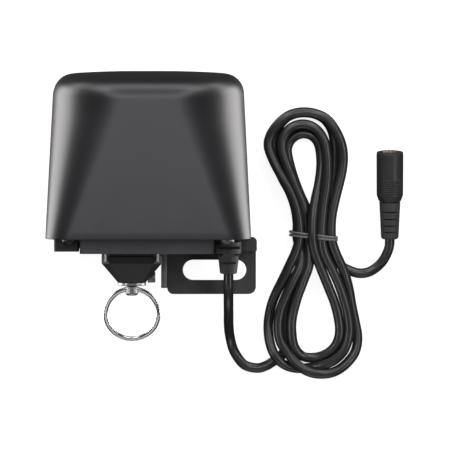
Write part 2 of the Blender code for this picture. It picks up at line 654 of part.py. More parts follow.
def make_coupling(output):
    at = (SHAFT_X, 0, SHAFT_Z)
    rings = [octagon(COUPLING_TIP_HALF, COUPLING_TIP_CHAMFER, COUPLING_BOTTOM),
             octagon(COUPLING_HALF, COUPLING_CHAMFER, COUPLING_KNEE),
             octagon(COUPLING_HALF, COUPLING_CHAMFER, COUPLING_TOP)]
    coupling = loft("coupling", rings, None, "gearbox_plastic", output)
    bore = [(0, COUPLING_TOP + 2), (SHAFT_RADIUS + GAP, COUPLING_TOP + 2),
            (SHAFT_RADIUS + GAP, -45.9), (4.5, -46.0), (4.5, -54.0), (3.1, -54.0),
            (3.1, COUPLING_BOTTOM - 2), (0, COUPLING_BOTTOM - 2)]
    seat = [(0, 9.0), (2.35, 9.0), (2.35, -0.6), (1.5, -0.6), (1.5, -2.2), (0, -2.2)]
    side = (0, SET_SCREW_Y, SHAFT_Z)
    combine(coupling, "DIFFERENCE", [turned("coupling_bore", bore, at, "Y"),
                                     turned("screw_seat", seat, side, "X", steps=14)])
    screw = [(0, 2.5), (1.7, 2.5), (2.05, 2.1), (2.05, -0.3), (1.2, -0.3), (1.2, -1.9), (0, -1.9)]
    turned("coupling_set_screw", screw, side, "X", "steel", output, steps=14)
    chamfer_middle = COUPLING_HALF - COUPLING_CHAMFER / 2
    for name, side_sign in (("left", -1), ("right", 1)):
        strip = box(f"clamp_strip_{name}", (-0.8, -2.0, -0.4), (0.8, 2.0, 0.4), "steel", output)
        stand_off = chamfer_middle + (GAP + 0.4) * math.sqrt(0.5)
        strip.location = Vector((SHAFT_X + side_sign * stand_off, COUPLING_TOP - 2.3,
                                 SHAFT_Z + stand_off)) * MM
        strip.rotation_euler = (0, side_sign * math.radians(45), 0)
    tube("thrust_washer", 6.05, 3.1, -57.2, -56.0, at, "Y", "steel", output)


def make_pull_pin(pull):
    at = (SHAFT_X, 0, SHAFT_Z)
    profile = [(0, -20.0), (2.2, -20.0), (2.2, -46.4), (4.1, -46.4), (4.1, -47.4), (2.2, -47.4),
               (2.2, -57.3), (2.75, -57.7), (2.75, -60.6), (1.9, -61.45), (0, -61.45)]
    pin = turned("pull_pin", profile, at, "Y", "steel", pull)
    hole = rod("pin_hole", PIN_HOLE_RADIUS, -8, 8, (SHAFT_X, PIN_HOLE_Y, SHAFT_Z), "X", steps=16)
    combine(pin, "DIFFERENCE", [hole])


def make_clutch_spring(output):
    radius, top, bottom, turns, per_turn = 3.3, -48.1, -53.3, 3.5, 9
    count = int(turns * per_turn)
    points = []
    for i in range(count + 1):
        angle = 2 * math.pi * i / per_turn
        points.append((SHAFT_X + radius * math.cos(angle), top + (bottom - top) * i / count,
                       SHAFT_Z + radius * math.sin(angle)))
    wire("clutch_spring", points, 0.35, "steel", output)


def make_split_ring(ring):
    half_r, half_a = RING_RADIAL / 2, RING_AXIAL / 2
    section = [(1.0, 0.4), (1.0, -0.4), (0.5, -1.0), (-0.5, -1.0), (-1.0, -0.4), (-1.0, 0.4),
               (-0.5, 1.0), (0.5, 1.0)]
    profile = [(RING_RADIUS + half_r * r, half_a * a) for r, a in section]
    middle = (SHAFT_X, PIN_HOLE_Y - RING_RADIUS * math.cos(RING_TILT),
              SHAFT_Z - RING_RADIUS * math.sin(RING_TILT))
    obj = turned("split_ring", profile, middle, "Z", "chrome", ring, steps=40)
    obj.rotation_euler = (RING_TILT, 0, 0)


# ---- motor and electronics --------------------------------------------------------------
BOARD_LOW, BOARD_HIGH = -13.0, -11.4
BOARD_LEFT, BOARD_RIGHT = -34.0, 1.5
BOARD_BACK_Z, BOARD_FRONT_Z = 16.0, 70.0
BOARD_SCREWS = ((-22.0, 33.0), (-22.0, 67.0), (-1.6, 67.0))
MOTOR_TOP = 9.0


def make_motor():
    at = (MOTOR_X, 0, MOTOR_Z)
    can_low = PLATE_HIGH + GAP
    can = [(0, MOTOR_TOP), (MOTOR_RADIUS - 1, MOTOR_TOP), (MOTOR_RADIUS, MOTOR_TOP - 1),
           (MOTOR_RADIUS, can_low), (3.0, can_low), (3.0, can_low - 1.8), (1.3, can_low - 1.8),
           (1.3, -12.0), (0, -12.0)]
    turned("motor_can", can, at, "Y", "steel")
    cap = [(0, MOTOR_TOP + 2.3), (6.0, MOTOR_TOP + 2.3), (9.5, MOTOR_TOP + 1.5),
           (9.5, MOTOR_TOP + GAP), (0, MOTOR_TOP + GAP)]
    turned("motor_end_cap", cap, at, "Y", "chip")
    wire_start = MOTOR_TOP + 2.3 + GAP
    for name, offset, finish in (("red", -3.0, "red_wire"), ("black", 3.0, "chip")):
        x = MOTOR_X + offset
        route = [(x, wire_start, MOTOR_Z), (x - 2, wire_start + 3, MOTOR_Z - 2),
                 (x - 12, wire_start + 2, MOTOR_Z - 9), (x - 20, 0, MOTOR_Z - 22),
                 (x - 23, BOARD_HIGH + 4, MOTOR_Z - 32), (x - 23, BOARD_HIGH + GAP, MOTOR_Z - 33)]
        wire(f"motor_lead_{name}", smooth_route(route, 4.0), 0.7, finish)


def make_electronics():
    holes = [circle(x, z, 1.3) for x, z in BOARD_SCREWS]
    outline = rounded([(BOARD_LEFT, BOARD_BACK_Z, 1.5), (BOARD_RIGHT, BOARD_BACK_Z, 1.5),
                       (BOARD_RIGHT, BOARD_FRONT_Z, 1.5), (BOARD_LEFT, BOARD_FRONT_Z, 1.5)], 3)
    plate("circuit_board", outline, BOARD_LOW, BOARD_HIGH, "Y", "board", holes=holes)
    top = BOARD_HIGH + GAP
    for index, (x, z) in enumerate(BOARD_SCREWS):
        profile = [(0, 1.3), (1.4, 1.3), (2.0, 0.6), (2.0, 0), (1.0, 0), (1.0, -6), (0, -6)]
        turned(f"board_screw_{index + 1}", profile, (x, top, z), "Y", "steel", steps=10)
    for name, x in (("open", SHAFT_X - 3.6), ("closed", SHAFT_X + 3.6)):
        box(f"hall_sensor_{name}", (x - 1.5, BOARD_LOW - 1.4, SHAFT_Z - 1.5),
            (x + 1.5, BOARD_LOW - GAP, SHAFT_Z + 1.5), "chip")
    box("control_chip", (-17, top, 46), (-7, top + 1.4, 56), "chip", bevel=0.2)
    box("terminal_block", (-33, top, 19), (-22, top + 8.5, 29), "terminal_green", bevel=0.4)
    capacitor = [(0, top + 12), (3.6, top + 12), (4.0, top + 11.6), (4.0, top), (0, top)]
    turned("capacitor", capacitor, (-28, 0, 57), "Y", "capacitor_sleeve", steps=16)


def make_inner_lead():
    """The cord's end inside the cover, from the gland to the terminal block."""
    route = [(GLAND_X, -31.6, GLAND_Z), (GLAND_X, -25.0, GLAND_Z), (32.0, -16.0, 26.0),
             (24.0, -9.0, 19.0), (8.0, -6.6, 18.5), (-8.0, -6.6, 22.5), (-21.0, -6.6, 24.0)]
    wire("power_lead_inner", smooth_route(route, 6.0), CORD / 2, "cord_pvc")


# ---- cord -------------------------------------------------------------------------------
def make_gland():
    profile = [(0, -32.0), (3.9, -32.0), (3.9, BASE_FLANGE - GAP), (5.5, BASE_FLANGE - GAP),
               (5.5, -41.4), (4.9, -41.5), (4.9, -42.3), (5.5, -42.4), (5.5, -43.9),
               (4.5, -44.5), (4.1, -48.4), (3.7, -48.5), (3.7, -48.9), (4.05, -49.0),
               (3.65, -52.4), (3.2, GLAND_END), (0, GLAND_END)]
    turned("cord_gland", profile, (GLAND_X, 0, GLAND_Z), "Y", "rubber", steps=18)


def make_cord():
    wire("cord_lead", smooth_route(LEAD, 2 * CORD), CORD / 2, "cord_pvc")
    wire("cord_tail", smooth_route(TAIL, 2 * CORD), CORD / 2, "cord_pvc")
    outline = closed_route([(x, y, 0) for x, y in HANK], 4.0)
    plate("cord_hank", outline, HANK_LOW, HANK_HIGH, "Z", "cord_pvc")
    tie = rounded([(TIE_LEFT, 0.15, 3.0), (TIE_RIGHT, 0.15, 3.0), (TIE_RIGHT, TIE_HIGH, 3.0),
                   (TIE_LEFT, TIE_HIGH, 3.0)])
    inside = rounded([(TIE_LEFT + 1.2, 1.3, 1.0), (TIE_RIGHT - 1.2, 1.3, 1.0),
                      (TIE_RIGHT - 1.2, TIE_HIGH - 1.2, 1.0), (TIE_LEFT + 1.2, TIE_HIGH - 1.2, 1.0)])
    plate("cord_tie", tie, TIE_FROM, TIE_TO, "Y", "rubber", holes=[inside])


def make_jack():
    boot = [(0, JACK_BOOT_LENGTH), (4.4, JACK_BOOT_LENGTH)]
    for groove in (11.1, 8.1, 5.3, 2.6):
        radius = 3.7 + 0.045 * groove
        boot += [(radius, groove + 0.4), (radius - 0.5, groove + 0.3), (radius - 0.5, groove - 0.3),
                 (radius, groove - 0.4)]
    boot += [(3.6, 0.5), (3.2, 0), (0, 0)]
    shoulder = JACK_BOOT_LENGTH + GAP
    body = [(0, JACK_FLOOR - 3.0), (1.3, JACK_FLOOR - 3.0), (1.3, JACK_FLOOR), (4.0, JACK_FLOOR),
            (4.0, JACK_LENGTH), (JACK_RADIUS, JACK_LENGTH), (JACK_RADIUS, shoulder + 2.2),
            (4.6, shoulder), (0, shoulder)]
    sleeve = [(3.6, JACK_LENGTH - 0.6), (3.6, 27.8), (3.1, 27.8), (3.1, JACK_LENGTH - 0.6)]
    pin = [(0, JACK_LENGTH - 1.5), (0.6, JACK_LENGTH - 1.5), (1.0, JACK_LENGTH - 2.0),
           (1.0, 24.8), (0, 24.8)]
    at = (JACK_X, JACK_Y, JACK_Z)
    for name, profile, finish in (("jack_boot", boot, "rubber"), ("jack_body", body, "chip"),
                                  ("jack_sleeve", sleeve, "steel"),
                                  ("jack_centre_pin", pin, "brass")):
        obj = turned(name, profile, at, "Y", finish, steps=18)
        obj.rotation_euler = (-math.pi / 2 + JACK_TILT, 0, 0)


def main():
    start()
    output = joint_axis("output_axis", SHAFT_X, 0, SHAFT_Z)
    idler = joint_axis("idler_axis", IDLER_X, 0, IDLER_Z)
    rotor = joint_axis("motor_axis", MOTOR_X, 0, MOTOR_Z)
    pull = joint_axis("pull_axis", SHAFT_X, PIN_HOLE_Y, SHAFT_Z)
    ring = joint_axis("ring_axis", SHAFT_X, PIN_HOLE_Y, SHAFT_Z)
    make_cover()
    make_gasket()
    make_cover_screws()
    make_base_plate()
    make_bracket()
    make_gearbox()
    make_gears(output, idler, rotor)
    make_shaft(output)
    make_coupling(output)
    make_pull_pin(pull)
    make_clutch_spring(output)
    make_split_ring(ring)
    make_motor()
    make_electronics()
    make_inner_lead()
    make_gland()
    make_cord()
    make_jack()


main()
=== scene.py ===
"""Looks of the motorised actuator head: a moulded cover on a geared base, a clamp coupling
with a pull pin and split ring, a slotted bracket and a tied hank of cord with a DC socket.

Lengths are in millimetres in the frame of the CAD model, and MM turns them into metres.
"""
import json
import math

import bmesh
import bpy
from mathutils import Matrix, Vector


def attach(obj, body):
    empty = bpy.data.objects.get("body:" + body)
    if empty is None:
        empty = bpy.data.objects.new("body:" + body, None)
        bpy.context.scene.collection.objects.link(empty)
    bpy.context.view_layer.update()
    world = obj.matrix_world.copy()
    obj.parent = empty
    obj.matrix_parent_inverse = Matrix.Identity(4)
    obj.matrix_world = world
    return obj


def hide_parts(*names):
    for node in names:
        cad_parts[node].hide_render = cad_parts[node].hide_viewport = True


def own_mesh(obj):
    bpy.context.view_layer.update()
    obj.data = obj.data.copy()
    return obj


MM = 0.001
MERGE = 0.000002    # vertices closer than this, in metres, become one

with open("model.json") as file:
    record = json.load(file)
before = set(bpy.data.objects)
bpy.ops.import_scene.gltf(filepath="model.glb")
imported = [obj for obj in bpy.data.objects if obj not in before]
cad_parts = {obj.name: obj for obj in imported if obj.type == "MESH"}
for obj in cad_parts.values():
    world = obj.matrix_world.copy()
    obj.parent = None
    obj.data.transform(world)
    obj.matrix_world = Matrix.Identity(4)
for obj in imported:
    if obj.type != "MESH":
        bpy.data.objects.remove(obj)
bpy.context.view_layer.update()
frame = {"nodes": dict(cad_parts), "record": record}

# ---- sizes that the CAD model also has ----------------------------------------------------
COVER_HALF, COVER_BOTTOM, COVER_SHOULDER = 43.45, -35.6, 23.7
COVER_ROUND, COVER_RISE, COVER_WALL = 8.5, 1.35, 2.2
COVER_DRAFT = math.radians(2.8)
CORNER_AT_BOTTOM, CORNER_GROWTH, CORNER_KNEE = 10.1, 0.361, 17.5
COVER_DEPTH = 2 * COVER_HALF
SHAFT_X, SHAFT_Z = -7.1, 43.4
COUPLING_TOP, COUPLING_KNEE, COUPLING_BOTTOM = -42.3, -47.3, -55.7
COUPLING_HALF, COUPLING_TIP_HALF = 12.8, 5.9
COUPLING_CHAMFER, COUPLING_TIP_CHAMFER = 3.2, 1.45
SET_SCREW_Y = -53.7
PIN_HOLE_Y, PIN_HOLE_RADIUS = -58.62, 1.75
RING_RADIUS, RING_RADIAL, RING_AXIAL = 11.2, 1.87, 1.6
RING_TILT = math.radians(15.0)
BRACKET_LEFT, BRACKET_RIGHT, BRACKET_BOTTOM = 5.2, 45.6, -62.1
BRACKET_BACK_Z, SHEET, LEG_FRONT_Z, LEG_BOTTOM = 19.8, 2.5, 30.0, -59.3
SLOT_LEFT, SLOT_RIGHT, SLOT_LOW, SLOT_HIGH = 14.5, 41.45, -56.15, -47.45
TAB_LEFT, TAB_RIGHT, TAB_TOP, TAB_BOTTOM = 9.0, 46.0, -37.7, -43.75
BRACKET_SCREWS_X, BRACKET_SCREW_Y = (14.0, 36.4), -40.2
BASE_FLANGE, BASE_BOTTOM = -35.4, -41.9
GLAND_X, GLAND_Z = 33.9, 31.0
COVER_SCREW_X, FRONT_SCREW_Z, BACK_SCREW_Z, POST_TOP = 33.3, 77.0, 10.0, -7.0
JACK_AT = (102.8, -39.4, 3.95)
JACK_TILT = math.radians(6.6)
JACK_LENGTH, JACK_BOOT, JACK_RADIUS = 37.5, 16.0, 5.75

# ---- cord ---------------------------------------------------------------------------------
CORD = 4.2
IN_GLAND, IN_BOOT = (33.9, -47.5, 31.0), (102.8, -36.0, 4.3)    # hidden ends of the cord
LEAD = [(33.9, -53.5, 31.0), (33.9, -58.5, 30.6), (33.9, -64.5, 27.4), (33.95, -70.5, 21.0),
        (34.0, -76.0, 13.5), (34.6, -81.5, 6.6), (36.4, -87.8, 3.0), (40.6, -93.4, 2.2),
        (46.2, -94.9, 2.2), (50.2, -93.8, 2.2), (52.6, -92.3, 2.2)]
# Each turn of the hank goes up the left side, over the top and down the right side.
FIRST_TURN = [
    (55.8, -90.3, 2.2), (58.3, -86.1, 2.2), (58.3, -80.5, 2.2), (58.1, -74.5, 2.2),
    (59.1, -66.0, 2.2), (62.0, -58.8, 2.2), (66.2, -51.9, 2.2), (71.0, -45.2, 2.3),
    (71.6, -39.2, 2.3), (69.9, -32.4, 2.3), (66.7, -25.6, 2.3), (63.7, -18.8, 2.3),
    (61.0, -11.1, 2.3), (59.0, -2.6, 2.3), (59.9, 1.7, 2.4), (62.5, 4.4, 2.6), (66.0, 5.5, 3.0),
    (69.6, 4.5, 3.2), (72.2, 1.5, 3.2), (73.3, -3.4, 3.2), (73.4, -9.3, 3.6), (72.5, -16.1, 4.6),
    (71.0, -22.8, 6.0), (70.0, -29.6, 7.2), (69.7, -38.1, 7.8), (70.8, -44.9, 7.2),
    (73.3, -51.8, 6.8), (76.4, -59.5, 6.8), (79.4, -67.2, 6.6), (81.2, -75.0, 6.4),
    (81.3, -80.6, 6.0), (79.5, -85.3, 5.0), (75.9, -88.6, 3.8), (71.2, -90.3, 3.0),
    (65.7, -89.8, 3.8), (62.1, -85.8, 5.6), (60.9, -79.5, 6.5)]
SECOND_TURN = [
    (61.1, -73.2, 6.5), (63.1, -65.1, 6.4), (65.9, -57.4, 6.0), (68.2, -51.0, 5.4),
    (68.3, -45.1, 4.4), (67.4, -39.2, 2.6), (66.8, -32.3, 3.4), (65.9, -25.4, 6.0),
    (63.1, -18.5, 6.5), (60.1, -10.9, 6.5), (57.8, -4.9, 6.3), (56.7, 0.0, 6.2), (57.7, 4.8, 6.2),
    (60.6, 8.1, 6.3), (64.6, 9.6, 6.5), (68.7, 9.1, 6.7), (72.4, 6.5, 6.8), (74.9, 2.1, 6.9),
    (75.9, -3.2, 7.0), (76.2, -9.1, 7.0), (75.9, -16.0, 7.0), (74.6, -24.5, 7.0),
    (73.9, -32.2, 7.2), (73.8, -39.0, 7.4), (74.9, -45.4, 7.2), (77.7, -51.5, 7.2),
    (80.8, -58.3, 7.4), (83.3, -65.5, 7.4), (85.1, -73.0, 7.2), (85.4, -80.3, 7.0),
    (83.3, -86.9, 6.8), (79.2, -91.2, 6.4), (74.4, -93.4, 5.2), (69.8, -94.5, 3.4),
    (64.8, -95.0, 2.4), (60.1, -94.3, 3.8), (56.3, -92.2, 6.0)]
THIRD_TURN = [
    (53.5, -88.8, 6.6), (51.8, -84.5, 5.8), (51.0, -79.6, 4.6), (51.0, -74.9, 3.8),
    (52.0, -69.0, 3.6), (53.8, -63.7, 4.4), (57.1, -56.9, 5.6), (60.2, -50.3, 6.3),
    (62.8, -44.5, 6.4), (64.1, -39.0, 6.4), (64.0, -32.2, 6.4), (62.7, -25.4, 6.4),
    (60.2, -19.0, 6.4), (56.7, -12.8, 6.3), (53.2, -6.2, 5.8), (51.0, -0.1, 5.4), (51.8, 4.8, 5.4),
    (55.3, 9.9, 6.2), (59.9, 13.5, 6.5), (65.4, 14.8, 6.5), (71.2, 14.1, 6.5), (76.1, 11.6, 6.4),
    (79.7, 6.8, 6.4), (82.1, 1.2, 6.0), (82.9, -4.5, 5.6), (82.2, -11.3, 5.6), (80.0, -20.3, 6.0),
    (78.3, -27.9, 6.2), (77.7, -33.9, 6.2), (78.0, -39.9, 6.2), (79.7, -45.4, 6.2),
    (81.8, -50.1, 6.2), (84.0, -55.7, 5.4), (85.5, -61.7, 3.6), (86.6, -68.2, 2.6),
    (88.0, -75.0, 2.3), (89.1, -81.8, 2.6), (88.0, -87.9, 3.4), (84.2, -92.9, 4.6),
    (79.5, -96.1, 5.6), (74.2, -97.2, 6.0), (68.5, -96.3, 7.0), (63.3, -93.1, 6.9),
    (59.4, -88.5, 6.5)]
LAST_TURN = [
    (56.1, -83.3, 6.5), (55.1, -76.9, 6.5), (56.0, -70.1, 6.5), (58.5, -63.6, 6.5),
    (61.5, -57.2, 6.5), (64.4, -51.1, 5.9), (64.8, -45.1, 3.8), (63.3, -39.2, 2.3),
    (63.3, -32.4, 2.2), (62.2, -25.6, 2.2), (59.9, -19.2, 2.2), (56.5, -12.8, 2.2),
    (54.1, -6.4, 2.2), (53.3, -0.4, 2.2), (53.9, 5.1, 2.2), (56.3, 9.8, 2.2), (60.1, 13.1, 2.2),
    (65.4, 14.4, 2.2), (71.0, 13.7, 2.2), (75.4, 11.1, 2.2), (78.2, 6.4, 2.2), (79.2, 0.9, 2.2),
    (79.3, -4.7, 2.2), (79.0, -11.5, 2.2), (78.0, -19.6, 2.2), (76.7, -27.3, 2.2),
    (76.1, -33.7, 2.2), (76.3, -40.1, 2.2), (78.2, -46.0, 2.2), (81.8, -50.9, 2.2)]
TAIL = [(86.1, -53.25, 2.2), (89.7, -54.3, 2.2), (93.4, -53.9, 2.2), (96.6, -52.2, 2.25),
        (99.6, -49.3, 2.5), (101.6, -45.8, 3.0), (102.6, -42.8, 3.5), (102.8, -40.0, 3.85)]

# Turns that lay local Z along each axis.
TURNS = {"X": Matrix(((0, 0, 1), (1, 0, 0), (0, 1, 0))),
         "Y": Matrix.Rotation(-math.pi / 2, 3, "X"),
         "Z": Matrix.Identity(3)}


# ---- materials ----------------------------------------------------------------------------
def node(tree, kind, **settings):
    """A new shader node, its inputs or its own settings filled in by name."""
    made = tree.nodes.new(kind)
    for name, value in settings.items():
        if name in made.inputs:
            made.inputs[name].default_value = value
        else:
            setattr(made, name, value)
    return made


def surface(name, colour, roughness, metallic=0.0, mottle=0.12, grain=0.35, grain_depth=0.006,
            wander=0.06, gloss=0.5):
    """A finish whose colour and roughness wander over the surface, with a fine grain.

    mottle is how far the colour wanders, wander how far the roughness does, grain the size of
    the bumps and grain_depth their height."""
    material = bpy.data.materials.new(name)
    material.use_nodes = True
    tree = material.node_tree
    shader = tree.nodes["Principled BSDF"]
    shader.inputs["Metallic"].default_value = metallic
    shader.inputs["Specular IOR Level"].default_value = gloss
    place = node(tree, "ShaderNodeTexCoord")
    # The broad noise has 70 patches in a metre; the fine one's are as wide as the grain.
    broad = node(tree, "ShaderNodeTexNoise", Scale=70.0, Detail=4.0, Roughness=0.55)
    fine = node(tree, "ShaderNodeTexNoise", Scale=1 / (grain * MM), Detail=3.0, Roughness=0.6)
    for texture in (broad, fine):
        tree.links.new(place.outputs["Object"], texture.inputs["Vector"])
    tint = node(tree, "ShaderNodeValToRGB")
    low, high = tint.color_ramp.elements
    low.position, high.position = 0.3, 0.7
    low.color = (*[c * (1 - mottle) for c in colour], 1)
    high.color = (*[min(1, c * (1 + mottle)) for c in colour], 1)
    tree.links.new(broad.outputs["Fac"], tint.inputs["Fac"])
    tree.links.new(tint.outputs["Color"], shader.inputs["Base Color"])
    rough = node(tree, "ShaderNodeMapRange")
    rough.inputs["To Min"].default_value = max(0.02, roughness - wander)
    rough.inputs["To Max"].default_value = roughness + wander
    tree.links.new(fine.outputs["Fac"], rough.inputs["Value"])
    tree.links.new(rough.outputs["Result"], shader.inputs["Roughness"])
    bump = node(tree, "ShaderNodeBump", Strength=1.0, Distance=grain_depth * MM)
    tree.links.new(fine.outputs["Fac"], bump.inputs["Height"])
    tree.links.new(bump.outputs["Normal"], shader.inputs["Normal"])
    return material


# The colour, the roughness and whatever else sets each finish apart.
LOOKS = {
    "cover_plastic": ((0.017, 0.0165, 0.018), 0.38, dict(grain=0.4, gloss=0.9)),
    "base_plastic": ((0.048, 0.048, 0.049), 0.50, dict(grain=0.5, grain_depth=0.01)),
    "gearbox_plastic": ((0.086, 0.084, 0.092), 0.60,
                        dict(grain=0.5, grain_depth=0.01, gloss=0.12)),
    "black_paint": ((0.058, 0.058, 0.057), 0.47, dict(grain=0.7, grain_depth=0.02)),
    "rubber": ((0.066, 0.066, 0.065), 0.52, dict(grain=0.5, grain_depth=0.012, gloss=0.3)),
    "cord_pvc": ((0.030, 0.030, 0.030), 0.30,
                 dict(mottle=0.03, grain=2.5, grain_depth=0.003, wander=0.02, gloss=0.75)),
    "steel": ((0.40, 0.385, 0.37), 0.38,
              dict(metallic=1.0, mottle=0.08, grain=0.6, grain_depth=0.004)),
    "dull_zinc": ((0.22, 0.21, 0.205), 0.46, dict(metallic=1.0, grain=0.5)),
    "cut_steel": ((0.34, 0.31, 0.30), 0.5,
                  dict(metallic=1.0, mottle=0.15, grain=0.4, grain_depth=0.02)),
    "blackened_steel": ((0.035, 0.035, 0.036), 0.36,
                        dict(metallic=0.6, mottle=0.15, grain=0.4, grain_depth=0.01)),
    "coupling_plastic": ((0.026, 0.026, 0.026), 0.48,
                         dict(grain=0.5, grain_depth=0.01, gloss=0.35)),
    "tie_cord": ((0.19, 0.19, 0.19), 0.30,
                 dict(mottle=0.04, grain=1.5, grain_depth=0.003, wander=0.02)),
    "jack_plastic": ((0.045, 0.045, 0.044), 0.40,
                     dict(grain=0.4, grain_depth=0.01, gloss=0.35)),
    "bright_contact": ((0.75, 0.74, 0.72), 0.25,
                       dict(metallic=1.0, mottle=0.08, grain=0.6, grain_depth=0.004)),
    "brown_insulator": ((0.20, 0.10, 0.085), 0.45, dict(grain=0.5)),
    "chrome": ((0.85, 0.85, 0.86), 0.20,
               dict(metallic=1.0, mottle=0.05, grain=0.9, grain_depth=0.002, wander=0.03)),
    "brass": ((0.70, 0.50, 0.22), 0.28,
              dict(metallic=1.0, mottle=0.10, grain=0.6, grain_depth=0.004)),
    "gear_nylon": ((0.80, 0.78, 0.70), 0.45, dict(mottle=0.05, grain=0.6, grain_depth=0.01)),
    "board": ((0.02, 0.16, 0.06), 0.35, dict(mottle=0.20, grain=0.8, grain_depth=0.01)),
    "chip": ((0.016, 0.016, 0.017), 0.45, dict(grain=0.4, grain_depth=0.01)),
    "terminal_green": ((0.03, 0.30, 0.12), 0.40, dict(mottle=0.08, grain=0.6, grain_depth=0.01)),
    "capacitor_sleeve": ((0.03, 0.04, 0.12), 0.30, dict(mottle=0.1, grain=0.6, grain_depth=0.01)),
    "red_wire": ((0.50, 0.02, 0.02), 0.38, dict(mottle=0.1, grain=0.6, grain_depth=0.01)),
}
FINISHES = {name: surface(name, colour, roughness, **rest)
            for name, (colour, roughness, rest) in LOOKS.items()}


# ---- building blocks ----------------------------------------------------------------------
def add(name, data, finish, body, nodes=()):
    """A new piece: linked, finished, riding on its body and standing for its CAD nodes."""
    obj = bpy.data.objects.new(name, data)
    bpy.context.scene.collection.objects.link(obj)
    obj.data.materials.append(FINISHES[finish])
    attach(obj, body)
    if nodes:
        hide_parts(*nodes)
    return obj


def smooth(mesh, angle=35):
    """Smooth shading, but for edges sharper than the angle in degrees."""
    mesh.shade_smooth()
    mesh.set_sharp_from_angle(angle=math.radians(angle))
    return mesh


def mesh_of(bm, name, angle=35):
    """The mesh of a finished bmesh, which is freed."""
    mesh = bpy.data.meshes.new(name)
    bm.to_mesh(mesh)
    bm.free()
    return smooth(mesh, angle)


def turned_mesh(name, profile, place, steps=56, angle=35):
    """A body turned about local Z.  The profile lists (radius, height); one that starts off
    the axis closes on itself."""
    bm = bmesh.new()
    rings = []
    for radius, height in profile:
        if radius == 0:
            rings.append([bm.verts.new(place @ (Vector((0, 0, height)) * MM))])
            continue
        ring = []
        for i in range(steps):
            turn = 2 * math.pi * i / steps
            spot = Vector((radius * math.cos(turn), radius * math.sin(turn), height))
            ring.append(bm.verts.new(place @ (spot * MM)))
        rings.append(ring)
    closed = profile[0][0] != 0
    pairs = list(zip(rings, rings[1:])) + ([(rings[-1], rings[0])] if closed else [])
    for upper, lower in pairs:
        for i in range(steps):
            j = (i + 1) % steps
            corners = [upper[i % len(upper)], lower[i % len(lower)],
                       lower[j % len(lower)], upper[j % len(upper)]]
            bm.faces.new(list(dict.fromkeys(corners)))
    bmesh.ops.recalc_face_normals(bm, faces=bm.faces)
    return mesh_of(bm, name, angle)


def at(x, y, z, axis):
    """The place of a turned body whose local Z lies along the axis."""
    return Matrix.Translation(Vector((x, y, z)) * MM) @ TURNS[axis].to_4x4()


def softened(profile, radius):
    """The same profile with every corner rounded but its two ends."""
    steps = 3
    points = [profile[0]]
    for before, corner, after in zip(profile, profile[1:], profile[2:]):
        corner, before, after = Vector(corner), Vector(before), Vector(after)
        reach = min(radius, (before - corner).length * 0.45, (after - corner).length * 0.45)
        first = corner + (before - corner).normalized() * reach
        last = corner + (after - corner).normalized() * reach
        for step in range(steps + 1):
            t = step / steps
            points.append(tuple(first * (1 - t) ** 2 + corner * 2 * t * (1 - t) + last * t * t))
    points.append(profile[-1])
    return points


def smooth_route(points):
    """A Catmull-Rom curve through the points."""
    steps = 6
    points = [Vector(p) for p in points]
    nodes = [2 * points[0] - points[1], *points, 2 * points[-1] - points[-2]]
    route = []
    for a, b, c, d in zip(nodes, nodes[1:], nodes[2:], nodes[3:]):
        for step in range(steps):
            t = step / steps
            route.append(0.5 * (2 * b + (c - a) * t + (2 * a - 5 * b + 4 * c - d) * t * t
                                + (3 * b - a - 3 * c + d) * t ** 3))
    return [*route, points[-1]]


def eased(value, start, end):
    """0 up to start, 1 from end on, and a smooth rise between them."""
    share = min(1.0, max(0.0, (value - start) / (end - start)))
    return share * share * (3 - 2 * share)


def wire_curve(name, routes, radius, resolution):
    """A round wire along each of the routes."""
    curve = bpy.data.curves.new(name, "CURVE")
    curve.dimensions = "3D"
    curve.bevel_depth = radius * MM
    curve.bevel_resolution = resolution
    curve.use_fill_caps = True
    for route in routes:
        spline = curve.splines.new("POLY")
        spline.points.add(len(route) - 1)
        for point, place in zip(spline.points, route):
            point.co = (*(Vector(place) * MM), 1)
        spline.use_smooth = True
    return curve


def rounded(corners, steps=10):
    """Points of an outline from (x, y, radius) corners."""
    points = []
    for i, (x, y, radius) in enumerate(corners):
        corner = Vector((x, y))
        before = (Vector(corners[i - 1][:2]) - corner).normalized()
        after = (Vector(corners[(i + 1) % len(corners)][:2]) - corner).normalized()
        if radius == 0:
            points.append(corner)
            continue
        half = before.angle(after) / 2
        centre = corner + (before + after).normalized() * radius / math.sin(half)
        first = corner + before * radius / math.tan(half) - centre
        last = corner + after * radius / math.tan(half) - centre
        for step in range(steps + 1):
            points.append(centre + first.slerp(last, step / steps) * radius)
    return points


def bevel(obj, width, segments=3, angle=40):
    """Round the edges that turn by more than the angle in degrees."""
    modifier = obj.modifiers.new("soft edges", "BEVEL")
    modifier.width = width * MM
    modifier.segments = segments
    modifier.limit_method = "ANGLE"
    modifier.angle_limit = math.radians(angle)
    modifier.harden_normals = True
    return obj


def skin(bm, sections):
    """Faces between matching closed sections, whose rows of vertices it returns."""
    rows = [[bm.verts.new(p * MM) for p in section] for section in sections]
    count = len(rows[0])
    for low, high in zip(rows, rows[1:]):
        for i in range(count):
            j = (i + 1) % count
            bm.faces.new((low[i], low[j], high[j], high[i]))
    return rows


